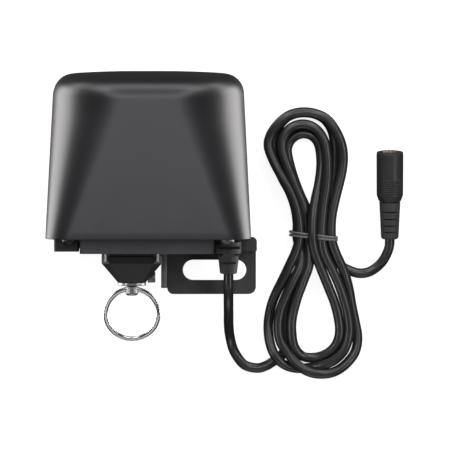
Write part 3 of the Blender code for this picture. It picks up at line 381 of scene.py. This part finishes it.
# ---- cover --------------------------------------------------------------------------------
def cover_ring(y, inset=0.0):
    """The cover's outline at height y, with points along its flat sides as well.

    The corners widen steadily up to the knee, where the widening fades out."""
    steps, flats, softness = 22, 8, 2.0
    rise = min(y, COVER_SHOULDER) - COVER_BOTTOM
    half = COVER_HALF - rise * math.tan(COVER_DRAFT) - inset
    front = COVER_DEPTH - rise * math.tan(COVER_DRAFT) - inset
    limited = CORNER_KNEE - softness * math.log(1 + math.exp((CORNER_KNEE - y) / softness))
    radius = CORNER_AT_BOTTOM + CORNER_GROWTH * (limited - COVER_BOTTOM) - inset
    corners = [(half, inset, radius), (-half, inset, radius),
               (-half, front, radius), (half, front, radius)]
    arcs = rounded(corners, steps)
    ring = []
    for i, point in enumerate(arcs):
        ring.append(point)
        if i % (steps + 1) == steps:
            after = arcs[(i + 1) % len(arcs)]
            ring += [point.lerp(after, k / flats) for k in range(1, flats)]
    return [Vector((p.x, y, p.y)) for p in ring]


def make_cover():
    """A tapered shell with a rounded lip, a rounded shoulder and a faint crown."""
    lip, shoulder_turn = 0.45, math.radians(84)
    foot, knee_start = COVER_BOTTOM + lip, CORNER_KNEE - 6
    wall_rows, knee_rows, shoulder_rows = 14, 8, 12
    rings = [cover_ring(COVER_BOTTOM + lip * (1 - math.cos(math.radians(a))),
                        lip * (1 - math.sin(math.radians(a)))) for a in (0, 25, 50, 75)]
    rings += [cover_ring(foot + (knee_start - foot) * i / wall_rows)
              for i in range(wall_rows + 1)]
    rings += [cover_ring(knee_start + (COVER_SHOULDER - knee_start) * i / knee_rows)
              for i in range(1, knee_rows + 1)]
    for step in range(1, shoulder_rows + 1):
        angle = shoulder_turn * step / shoulder_rows
        rings.append(cover_ring(COVER_SHOULDER + COVER_ROUND * math.sin(angle),
                                COVER_ROUND * (1 - math.cos(angle))))
    edge = rings[-1]
    middle = Vector((0, edge[0].y, sum(p.z for p in edge) / len(edge)))
    for share in (0.94, 0.86, 0.76, 0.62, 0.46, 0.3, 0.15):
        lift = Vector((0, COVER_RISE * (1 - share ** 2), 0))
        rings.append([middle + lift + (p - middle) * share for p in edge])
    bm = bmesh.new()
    last = skin(bm, rings)[-1]
    tip = bm.verts.new((middle + Vector((0, COVER_RISE, 0))) * MM)
    for near, far in zip(last, last[1:] + last[:1]):
        bm.faces.new((near, far, tip))
    cover = add("cover_shell", mesh_of(bm, "cover_shell", 50), "cover_plastic", "housing",
                ["cover"])
    shell = cover.modifiers.new("wall", "SOLIDIFY")
    shell.thickness = COVER_WALL * MM
    shell.offset = -1
    shell.use_even_offset = True


# ---- cord and tie -------------------------------------------------------------------------
def make_cord():
    """One cord from the gland, round the hank and into the jack's boot, and its route."""
    points = [IN_GLAND, *LEAD, *FIRST_TURN, *SECOND_TURN, *THIRD_TURN, *LAST_TURN, *TAIL, IN_BOOT]
    route = smooth_route(points)
    cord = add("cord", wire_curve("cord", [route], CORD / 2, 6), "cord_pvc", "housing",
               ["cord_lead", "cord_hank", "cord_tail"])
    return cord, route


def make_tie():
    """A thin cord wound twice round the waist of the hank, and under its topmost strand."""
    middle_x, middle_y, middle_z = 70.2, -38.2, 5.2
    half_width, half_height, squareness = 10.0, 4.9, 0.62
    radius, lowest, slope, apart, fanned, steps = 0.5, 0.65, -0.117, 0.62, 0.15, 96
    # It dips fully within 1.7 of the topmost strand, and not at all beyond 2.7.
    strand_x, dip_from, dip_to = -0.4, 1.7, 2.7
    route = []
    for i in range(2 * steps + 1):
        turn = 2 * math.pi * i / steps - math.pi / 2
        x, z = math.cos(turn), math.sin(turn)
        spot_x = half_width * math.copysign(abs(x) ** squareness, x)
        spot_z = half_height * math.copysign(abs(z) ** squareness, z)
        if spot_z > 0:
            spot_z -= half_height * (1 - eased(abs(spot_x - strand_x), dip_from, dip_to))
        side = apart * (1 - 2 * eased(i, 0.8 * steps, 1.2 * steps)) * (1 - fanned * x)
        route.append(Vector((middle_x + spot_x, middle_y + slope * spot_x + side,
                             max(lowest, middle_z + spot_z))))
    return add("tie", wire_curve("tie", [route], radius, 4), "tie_cord", "housing", ["cord_tie"])


# ---- cutting, plates, boxes and bars ------------------------------------------------------
def combine(obj, operation, meshes):
    """Join meshes to a piece, or cut them out of it."""
    for mesh in meshes:
        other = bpy.data.objects.new("cutter", mesh)
        bpy.context.scene.collection.objects.link(other)
        modifier = obj.modifiers.new(operation, "BOOLEAN")
        modifier.operation = operation
        modifier.solver = "EXACT"
        modifier.object = other
        graph = bpy.context.evaluated_depsgraph_get()
        result = bpy.data.meshes.new_from_object(obj.evaluated_get(graph))
        obj.modifiers.clear()
        obj.data = result
        bpy.data.objects.remove(other, do_unlink=True)
    smooth(obj.data)


def plate_mesh(name, outline, low, high, axis, holes=()):
    """A flat outline with holes, from low to high along X or Z, as a closed mesh."""
    curve = bpy.data.curves.new(name, "CURVE")
    curve.dimensions = "2D"
    curve.fill_mode = "BOTH"
    curve.extrude = (high - low) / 2 * MM
    for loop in (outline, *holes):
        spline = curve.splines.new("POLY")
        spline.points.add(len(loop) - 1)
        for point, place in zip(spline.points, loop):
            point.co = (place[0] * MM, place[1] * MM, 0, 1)
        spline.use_cyclic_u = True
    shape = bpy.data.objects.new(name, curve)
    bpy.context.scene.collection.objects.link(shape)
    mesh = bpy.data.meshes.new_from_object(
        shape.evaluated_get(bpy.context.evaluated_depsgraph_get()))
    bpy.data.objects.remove(shape, do_unlink=True)
    middle = (low + high) / 2
    shift = (middle, 0, 0) if axis == "X" else (0, 0, middle)
    bm = bmesh.new()
    bm.from_mesh(mesh)
    bmesh.ops.remove_doubles(bm, verts=bm.verts, dist=MERGE)
    bmesh.ops.dissolve_limit(bm, angle_limit=0.001, verts=bm.verts, edges=bm.edges)
    bm.transform(at(*shift, axis))
    bmesh.ops.recalc_face_normals(bm, faces=bm.faces)
    return mesh_of(bm, name)


def box_mesh(name, low, high):
    """A box between two opposite corners."""
    bm = bmesh.new()
    bmesh.ops.create_cube(bm, size=1.0)
    for vertex in bm.verts:
        vertex.co = Vector([(low[i] + high[i]) / 2 + vertex.co[i] * (high[i] - low[i])
                            for i in range(3)]) * MM
    return mesh_of(bm, name)


def swept_mesh(name, sections):
    """A bar through matching closed sections, with flat ends."""
    bm = bmesh.new()
    rows = skin(bm, sections)
    bm.faces.new(rows[-1])
    bm.faces.new(reversed(rows[0]))
    bmesh.ops.recalc_face_normals(bm, faces=bm.faces)
    return mesh_of(bm, name)


def cross_recess(place, face, length, width, depth):
    """Two crossed slots sunk into a head whose face looks along local +Z."""
    cutters = []
    for across, along in ((length, width), (width, length)):
        mesh = box_mesh("recess", (-across / 2, -along / 2, face - depth),
                        (across / 2, along / 2, face + 1.0))
        mesh.transform(place)
        cutters.append(mesh)
    return cutters


# ---- coupling, pin and ring ---------------------------------------------------------------
def octagon(half, chamfer, y):
    """A chamfered square round the shaft's axis."""
    flat = half - chamfer
    corners = [(half, -flat), (half, flat), (flat, half), (-flat, half),
               (-half, flat), (-half, -flat), (-flat, -half), (flat, -half)]
    return [Vector((SHAFT_X + x, y, SHAFT_Z + z)) for x, z in corners]


def make_coupling():
    """A square clamp block that tapers to its nose, with a groove under its top band."""
    groove, shaft_bore, spring_room, nose_bore = 0.5, 4.52, 4.5, 3.1
    levels = [(COUPLING_HALF, COUPLING_CHAMFER, COUPLING_TOP),
              (COUPLING_HALF, COUPLING_CHAMFER, COUPLING_TOP - 1.2),
              (COUPLING_HALF - groove, COUPLING_CHAMFER, COUPLING_TOP - 1.4),
              (COUPLING_HALF - groove, COUPLING_CHAMFER, COUPLING_TOP - 1.8),
              (COUPLING_HALF, COUPLING_CHAMFER, COUPLING_TOP - 2.0),
              (COUPLING_HALF, COUPLING_CHAMFER, COUPLING_KNEE),
              (COUPLING_TIP_HALF, COUPLING_TIP_CHAMFER, COUPLING_BOTTOM)]
    mesh = swept_mesh("coupling_block", [octagon(*level) for level in levels])
    block = add("coupling_block", mesh, "coupling_plastic", "output", ["coupling"])
    seat = turned_mesh("seat", [(0, 9.0), (2.5, 9.0), (2.5, -0.7), (1.5, -0.7), (1.5, -2.2),
                                (0, -2.2)], at(0, SET_SCREW_Y, SHAFT_Z, "X"), 40)
    bore = [(0, COUPLING_TOP + 2), (shaft_bore, COUPLING_TOP + 2), (shaft_bore, -45.9),
            (spring_room, -46.0), (spring_room, -54.0), (nose_bore, -54.0), (nose_bore, -60.0),
            (0, -60.0)]
    bore_piece = turned_mesh("bore", bore, at(SHAFT_X, 0, SHAFT_Z, "Y"), 48)
    combine(block, "DIFFERENCE", [seat, bore_piece])
    bevel(block, 0.3, 3, 25)

    washer = softened([(6.05, -56.0), (6.05, -57.2), (nose_bore, -57.2), (nose_bore, -56.0)],
                      0.3)
    add("washer", turned_mesh("washer", washer, at(SHAFT_X, 0, SHAFT_Z, "Y")), "steel", "output",
        ["thrust_washer"])
    screw = [(0, 2.9), (1.9, 2.9), (2.3, 2.5), (2.3, -0.4), (1.2, -0.4), (1.2, -1.9), (0, -1.9)]
    place = at(0, SET_SCREW_Y, SHAFT_Z, "X")
    hexagon = turned_mesh("hex_socket", [(0, 5.0), (1.2, 5.0), (1.2, 1.0), (0, 1.0)], place, 6)
    head = add("set_screw", turned_mesh("set_screw", softened(screw, 0.2), place, 40), "dull_zinc",
               "output", ["coupling_set_screw"])
    combine(head, "DIFFERENCE", [hexagon])


def make_strips():
    """Clamp strips that stand on the chamfers of the block's front corners."""
    half_thick, gap, slid_forward = 0.4, 0.3, 0.85
    stand_off = (COUPLING_HALF - COUPLING_CHAMFER / 2) + (gap + half_thick) * math.sqrt(0.5)
    for side, sign in (("left", -1), ("right", 1)):
        mesh = box_mesh("strip", (-0.7, -2.0, -half_thick), (0.7, 2.0, half_thick))
        mesh.transform(Matrix.Translation(Vector((SHAFT_X + sign * (stand_off - slid_forward),
                                                  COUPLING_TOP - 2.3,
                                                  SHAFT_Z + stand_off + slid_forward)) * MM)
                       @ Matrix.Rotation(sign * math.radians(45), 4, "Y"))
        strip = add(f"strip_{side}", mesh, "dull_zinc", "output", [f"clamp_strip_{side}"])
        bevel(strip, 0.2, 3)


def make_pin():
    """The pull pin: a flange inside the block and a drilled head for the ring."""
    profile = [(0, -20.0), (2.2, -20.0), (2.2, -46.4), (4.1, -46.4), (4.1, -47.4), (2.2, -47.4),
               (2.2, -57.3), (2.8, -57.7), (2.8, -60.6), (2.0, -61.45), (0, -61.45)]
    mesh = turned_mesh("pin", softened(profile, 0.3), at(SHAFT_X, 0, SHAFT_Z, "Y"), 64)
    pin = add("pin", mesh, "steel", "pull", ["pull_pin"])
    hole = turned_mesh("hole", [(0, 8), (PIN_HOLE_RADIUS, 8), (PIN_HOLE_RADIUS, -8), (0, -8)],
                       at(SHAFT_X, PIN_HOLE_Y, SHAFT_Z, "X"), 40)
    combine(pin, "DIFFERENCE", [hole])
    bevel(pin, 0.12, 2, 30)


def make_spring():
    """The clutch spring, a wire coiled round the pin between its flange and the block's shoulder.
    """
    radius, top, bottom, turns, per_turn = 3.3, -48.1, -53.3, 3.5, 24
    count = int(turns * per_turn)
    route = [(SHAFT_X + radius * math.cos(2 * math.pi * i / per_turn),
              top + (bottom - top) * i / count,
              SHAFT_Z + radius * math.sin(2 * math.pi * i / per_turn)) for i in range(count + 1)]
    shape = bpy.data.objects.new("shape", wire_curve("spring", [route], 0.33, 4))
    spring = add("spring", bpy.data.meshes.new_from_object(shape), "steel", "output",
                 ["clutch_spring"])
    bpy.data.objects.remove(shape)
    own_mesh(spring)


def make_ring():
    """A flat wire coiled nearly twice, one coil on the other, with square-cut ends."""
    thick = RING_AXIAL / 2
    first, turn, drop_from, drop_to = 51.0, 692.0, 300.0, 342.0    # in degrees
    steps = 240
    outline = [Vector((RING_RADIAL / 2 * math.cos(a), (thick / 2 - 0.02) * math.sin(a)))
               for a in (math.radians(15 * k) for k in range(24))]
    tilt = Matrix.Rotation(RING_TILT, 3, "X")
    centre = Vector((SHAFT_X, PIN_HOLE_Y - RING_RADIUS * math.cos(RING_TILT),
                     SHAFT_Z - RING_RADIUS * math.sin(RING_TILT)))
    sections = []
    for i in range(steps + 1):
        swung = turn * i / steps
        height = thick / 2 - thick * eased(swung, drop_from, drop_to)
        angle = math.radians(first + swung)
        out = Vector((math.cos(angle), math.sin(angle), 0))
        sections.append([centre + tilt @ (out * (RING_RADIUS + p.x) + Vector((0, 0, height + p.y)))
                         for p in outline])
    add("key_ring", swept_mesh("key_ring", sections), "chrome", "ring", ["split_ring"])


# ---- bracket ------------------------------------------------------------------------------
def make_bracket():
    """Folded sheet: a slotted plate, a tab joggled forward over the bar, and a side leg."""
    top = BASE_BOTTOM - 0.3
    outline = rounded([(BRACKET_LEFT, top, 0), (BRACKET_RIGHT, top, 0),
                       (BRACKET_RIGHT, BRACKET_BOTTOM, 3.2),
                       (BRACKET_LEFT + SHEET + 0.1, BRACKET_BOTTOM, 2.7),
                       (BRACKET_LEFT + SHEET + 0.1, LEG_BOTTOM, 0), (BRACKET_LEFT, LEG_BOTTOM, 0)])
    radius = (SLOT_HIGH - SLOT_LOW) / 2 - 0.01
    slot = rounded([(SLOT_LEFT, SLOT_LOW, radius), (SLOT_RIGHT, SLOT_LOW, radius),
                    (SLOT_RIGHT, SLOT_HIGH, radius), (SLOT_LEFT, SLOT_HIGH, radius)], 14)
    sheet = add("bracket_sheet", plate_mesh("bracket_sheet", outline, BRACKET_BACK_Z,
                                            BRACKET_BACK_Z + SHEET, "Z", [slot]),
                "black_paint", "housing", ["bracket"])
    tab_back = BRACKET_BACK_Z + SHEET - 0.3
    tab = rounded([(TAB_LEFT, TAB_TOP, 2.0), (TAB_LEFT, TAB_BOTTOM, 0.6),
                   (TAB_RIGHT, TAB_BOTTOM, 0.6), (TAB_RIGHT, TAB_TOP, 2.1)])
    leg = rounded([(top - 0.2, BRACKET_BACK_Z + 1.0, 0), (top - 0.2, LEG_FRONT_Z, 0.8),
                   (LEG_BOTTOM + 0.2, LEG_FRONT_Z, 0.4),
                   (LEG_BOTTOM + 0.2, BRACKET_BACK_Z + 1.0, 0)])
    tab_mesh = plate_mesh("tab", tab, tab_back, tab_back + SHEET, "Z")
    leg_mesh = plate_mesh("leg", leg, BRACKET_LEFT + 0.1, BRACKET_LEFT + SHEET, "X")
    combine(sheet, "UNION", [tab_mesh, leg_mesh])
    face = tab_back + SHEET
    sink = [(0, face + 0.5), (2.0, face + 0.5), (2.0, face - 0.1), (1.35, face - 0.8),
            (1.35, face - 4), (0, face - 4)]
    combine(sheet, "DIFFERENCE", [turned_mesh("sink", sink, at(x, BRACKET_SCREW_Y, 0, "Z"), 32)
                                  for x in BRACKET_SCREWS_X])
    bevel(sheet, 0.25, 3, 40)


def make_leg_edge():
    """The leg's sheared front edge, bare of paint: a bright band beside a dull torn one."""
    for name, low, high, finish in (("torn_band", 0.05, 0.5, "dull_zinc"),
                                    ("sheared_band", 0.5, 0.97, "cut_steel")):
        left, right = (BRACKET_LEFT + 0.1 + (SHEET - 0.1) * share for share in (low, high))
        mesh = box_mesh(name, (left + 0.02, LEG_BOTTOM + 0.45, LEG_FRONT_Z - 0.6),
                        (right - 0.02, BASE_BOTTOM - 1.3, LEG_FRONT_Z + 0.05))
        bevel(add(name, mesh, finish, "housing"), 0.15, 2)


def make_bracket_screws():
    """Flush countersunk heads with a cross recess."""
    face = BRACKET_BACK_Z + 2 * SHEET - 0.4
    profile = [(0, face), (1.55, face), (1.7, face - 0.12), (0.9, face - 1.0), (0.9, 12.0),
               (0, 12.0)]
    for index, x in enumerate(BRACKET_SCREWS_X):
        place = at(x, BRACKET_SCREW_Y, 0, "Z")
        screw = add(f"bracket_screw_head_{index + 1}",
                    turned_mesh("flush_screw", profile, place, 40), "blackened_steel", "housing",
                    [f"bracket_screw_{index + 1}"])
        combine(screw, "DIFFERENCE", cross_recess(place, face, 1.9, 0.34, 0.7))


# ---- base and gearbox ---------------------------------------------------------------------
def make_moulding(name, node_name, finish, edge):
    """The CAD's own shape with rounded edges, since the plastic has no sharp ones."""
    bm = bmesh.new()
    bm.from_mesh(frame["nodes"][node_name].data)
    bmesh.ops.remove_doubles(bm, verts=bm.verts, dist=MERGE)
    bmesh.ops.dissolve_limit(bm, angle_limit=math.radians(1.0), verts=bm.verts, edges=bm.edges)
    moulding = add(name, mesh_of(bm, name, 30), finish, "housing", [node_name])
    bevel(moulding, edge, 3, 30)


def make_cover_screws():
    """Pan heads that look down, away from the cover."""
    flip = Matrix.Rotation(math.pi, 4, "X")
    for side, x in (("left", -COVER_SCREW_X), ("right", COVER_SCREW_X)):
        for depth, z, seat in (("front", FRONT_SCREW_Z, BASE_FLANGE),
                               ("back", BACK_SCREW_Z, BASE_BOTTOM + 3.0)):
            seat -= 0.3
            profile = [(0, seat - 2.3), (1.4, seat - 2.25), (2.3, seat - 1.95),
                       (2.95, seat - 1.2), (3.1, seat - 0.5), (3.1, seat), (1.4, seat),
                       (1.4, POST_TOP - 8.0), (0, POST_TOP - 8.0)]
            place = at(x, 0, z, "Y")
            name = f"{depth}_{side}_screw"
            # The left heads are the same screws as the right ones: their dark blackened finish is
            # painted shade, which also hides the highlight they would catch.
            finish = "blackened_steel" if side == "left" else "dull_zinc"
            screw = add(name, turned_mesh(name, profile, place, 48), finish, "housing",
                        [f"cover_screw_{depth}_{side}"])
            combine(screw, "DIFFERENCE", cross_recess(place @ flip, 2.4 - seat, 3.6, 0.8, 1.6))


# ---- gland and jack -----------------------------------------------------------------------
def make_gland():
    """A tapered strain relief whose staggered slots let it bend."""
    profile = [(2.3, -32.0), (3.9, -32.0), (3.9, -35.7), (5.5, -35.7), (5.5, -44.2), (4.5, -45.2),
               (3.65, -52.5), (3.3, -52.9), (2.15, -52.9), (2.15, -50.0), (2.3, -48.0)]
    mesh = turned_mesh("gland", softened(profile, 0.3), at(GLAND_X, 0, GLAND_Z, "Y"), 96, 50)
    gland = add("gland", mesh, "rubber", "housing", ["cord_gland"])
    slots = []
    for low, high, reach, sideways in ((-39.3, -38.4, 5.6, True), (-42.3, -41.1, 5.6, False),
                                       (-45.0, -44.2, 5.6, True), (-48.6, -47.8, 5.0, False)):
        for sign in (-1, 1):
            near, far = sorted((sign * 2.5, sign * 7.0))
            if sideways:
                corners = ((GLAND_X + near, low, GLAND_Z - reach),
                           (GLAND_X + far, high, GLAND_Z + reach))
            else:
                corners = ((GLAND_X - reach, low, GLAND_Z + near),
                           (GLAND_X + reach, high, GLAND_Z + far))
            slots.append(box_mesh("slot", *corners))
    combine(gland, "DIFFERENCE", slots)
    return bevel(gland, 0.1, 2, 40)


def make_jack():
    """An inline DC socket: its slotted boot, its ribbed body and its contacts."""
    place = (Matrix.Translation(Vector(JACK_AT) * MM)
             @ Matrix.Rotation(-math.pi / 2 + JACK_TILT, 4, "X"))
    shoulder = JACK_BOOT + 0.3
    boot = [(0, JACK_BOOT), (4.5, JACK_BOOT), (3.75, 0.6), (3.3, 0.0), (2.15, 0.0), (2.15, 3.0),
            (0, 3.0)]
    boot_piece = add("boot", turned_mesh("boot", softened(boot, 0.3), place, 96, 50), "rubber",
                     "housing", ["jack_boot"])
    slots = []
    for height in (12.0, 8.9, 6.0, 3.2):
        for near, far in ((-6.0, -2.5), (2.5, 6.0)):
            slot = box_mesh("slot", (-5.0, near, height - 0.3), (5.0, far, height + 0.3))
            slot.transform(place)
            slots.append(slot)
    combine(boot_piece, "DIFFERENCE", slots)
    bevel(boot_piece, 0.1, 2, 40)

    body = [(0, 24.5), (1.3, 24.5), (1.3, 27.5), (4.0, 27.5), (4.0, JACK_LENGTH - 0.1),
            (4.15, JACK_LENGTH), (JACK_RADIUS - 0.1, JACK_LENGTH), (JACK_RADIUS, 36.0),
            (JACK_RADIUS - 0.1, shoulder + 2.6), (4.8, shoulder + 0.3), (4.5, shoulder),
            (0, shoulder)]
    body_mesh = turned_mesh("socket_body", softened(body, 0.35), place, 96, 50)
    body_piece = add("socket_body", body_mesh, "jack_plastic", "housing", ["jack_body"])
    ribs_piece = add("grip_ribs", grip_ribs(place, shoulder + 4.0), "jack_plastic", "housing")
    sleeve = [(3.85, JACK_LENGTH), (3.85, 27.8), (3.2, 27.8), (3.2, JACK_LENGTH)]
    pin = [(0, JACK_LENGTH - 0.3), (0.6, JACK_LENGTH - 0.3), (1.0, JACK_LENGTH - 0.8),
           (1.0, 24.8), (0, 24.8)]
    core = [(3.0, JACK_LENGTH - 0.4), (3.0, JACK_LENGTH - 3.5), (1.2, JACK_LENGTH - 3.5),
            (1.2, JACK_LENGTH - 0.4)]
    pieces = [boot_piece, body_piece, ribs_piece]
    for name, profile, steps, finish, nodes, slot in (
            ("socket_sleeve", sleeve, 64, "bright_contact", ["jack_sleeve"], "steel"),
            ("socket_pin", pin, 40, "brass", ["jack_centre_pin"], None),
            ("socket_core", core, 64, "brown_insulator", (), "chip")):
        mesh = turned_mesh(name, softened(profile, 0.15), place, steps)
        pieces.append(add(name, mesh, finish, "housing", nodes))
    return pieces


def grip_ribs(place, lowest):
    """Fine ribs in four groups round the socket's body."""
    reach, pitch, half_span, steps = JACK_RADIUS - 0.02, 0.92, 19, 12
    routes = []
    for index in range(7):
        for middle in (-103, -58, 77, 122):
            route = []
            for k in range(steps + 1):
                angle = math.radians(middle - half_span + 2 * half_span * k / steps)
                spot = Vector((reach * math.cos(angle), reach * math.sin(angle),
                               lowest + pitch * index))
                route.append((place @ (spot * MM)) / MM)
            routes.append(route)
    return wire_curve("grip_ribs", routes, 0.36, 3)


# ---- the pieces ---------------------------------------------------------------------------
make_cover()
make_coupling()
make_strips()
make_pin()
make_spring()
make_ring()
make_bracket()
make_leg_edge()
make_bracket_screws()
make_moulding("base_moulding", "base_plate", "base_plastic", 0.3)
make_moulding("gearbox_moulding", "gearbox_housing", "gearbox_plastic", 0.15)
make_cover_screws()
cord, cord_route = make_cord()
riders = [make_tie(), make_gland(), *make_jack()]

# ---- finishes of the CAD pieces that stay -------------------------------------------------
for part in frame["record"]["subparts"]:
    piece = frame["nodes"][part["node"]]
    piece.data.materials.clear()
    piece.data.materials.append(FINISHES[part["material_slot"]])


# ---- floor, light and camera --------------------------------------------------------------
def make_floor():
    """A pale floor that glows by itself, and neither shades nor tints the part."""
    mesh = bpy.data.meshes.new("floor")
    mesh.from_pydata([(-3, -3, 0), (3, -3, 0), (3, 3, 0), (-3, 3, 0)], [], [(0, 1, 2, 3)])
    floor = bpy.data.objects.new("floor", mesh)
    bpy.context.scene.collection.objects.link(floor)
    material = bpy.data.materials.new("floor")
    material.use_nodes = True
    shader = material.node_tree.nodes["Principled BSDF"]
    shader.inputs["Base Color"].default_value = (0.6, 0.6, 0.6, 1)
    shader.inputs["Roughness"].default_value = 0.9
    shader.inputs["Emission Color"].default_value = (1, 1, 1, 1)
    shader.inputs["Emission Strength"].default_value = 0.85
    mesh.materials.append(material)
    floor.visible_glossy = floor.visible_diffuse = floor.visible_shadow = False


def soft_light(name, place, target, size, watts, colour=(1.0, 1.0, 1.0)):
    """A rectangular lamp turned towards the target; places and sizes are in metres."""
    light = bpy.data.lights.new(name, "AREA")
    light.shape = "RECTANGLE"
    light.size, light.size_y = size
    light.energy = watts
    light.color = colour
    lamp = bpy.data.objects.new(name, light)
    lamp.location = place
    lamp.rotation_euler = (Vector(target) - Vector(place)).to_track_quat("-Z", "Y").to_euler()
    lamp.visible_camera = False
    bpy.context.scene.collection.objects.link(lamp)
    return lamp


def spare(lamp, names):
    """Keep a light off some pieces."""
    spared = bpy.data.collections.new(f"{lamp.name}_spared")
    for name in names:
        spared.objects.link(bpy.data.objects[name])
    for entry in spared.collection_objects:
        entry.light_linking.link_state = "EXCLUDE"
    lamp.light_linking.receiver_collection = spared


def make_lights():
    """Low side boxes and top strips shape the cover, high strips the rest, and back boxes
    and front cards fill in.  The world's light is faint."""
    middle = (0.0, -0.02, 0.05)
    for side, sign in (("left", -1), ("right", 1)):
        low = soft_light(f"{side}_softbox", (0.85 * sign, 0.05, -0.30), middle, (0.9, 0.75), 10.2,
                         (1.0, 0.98, 0.975))
        spare(low, ("cord", "tie", "boot", "socket_body", "grip_ribs", "gearbox_moulding"))
        soft_light(f"top_{side}_strip", (0.24 * sign, 0.44, 0.72), middle, (0.13, 1.1), 1.95,
                   (0.95, 0.92, 1.0))
        high = soft_light(f"high_{side}_strip", (0.65 * sign, 0.0, 0.55), middle, (1.0, 0.06), 2.0)
        spare(high, ("cover_shell",))
        soft_light(f"back_{side}_softbox", (0.85 * sign, 0.85, -0.25), middle, (0.6, 0.45), 2.1)
    soft_light("back_softbox", (0.0, 1.05, 0.40), middle, (1.9, 0.6), 6.6)
    soft_light("front_card", (-0.02, -0.75, 1.05), middle, (0.7, 0.5), 0.65)
    soft_light("low_front_card", (0.0, -1.0, 0.2), middle, (0.8, 0.4), 1.2)
    world = bpy.data.worlds.new("studio")
    world.use_nodes = True
    background = world.node_tree.nodes["Background"]
    background.inputs["Color"].default_value = (1, 1, 1, 1)
    background.inputs["Strength"].default_value = 0.006
    bpy.context.scene.world = world


def make_camera():
    """A long lens that looks down on the part, leaning slightly towards its top."""
    lean = math.radians(3.0)
    back = Vector((0, math.sin(lean), math.cos(lean)))
    up = Vector((0, math.cos(lean), -math.sin(lean)))
    target = Vector((32.42, -32.74, 20.0)) * MM
    distance = 6.0
    view_width = 0.1917
    data = bpy.data.cameras.new("camera")
    data.sensor_width = 36.0
    data.lens = data.sensor_width * distance / view_width
    data.clip_end = 20.0
    camera = bpy.data.objects.new("camera", data)
    right = up.cross(back)
    camera.matrix_world = Matrix((right, up, back)).transposed().to_4x4()
    camera.location = target + back * distance
    bpy.context.scene.collection.objects.link(camera)
    bpy.context.scene.camera = camera


make_floor()
make_lights()
make_camera()
bpy.context.scene.view_settings.view_transform = "Standard"
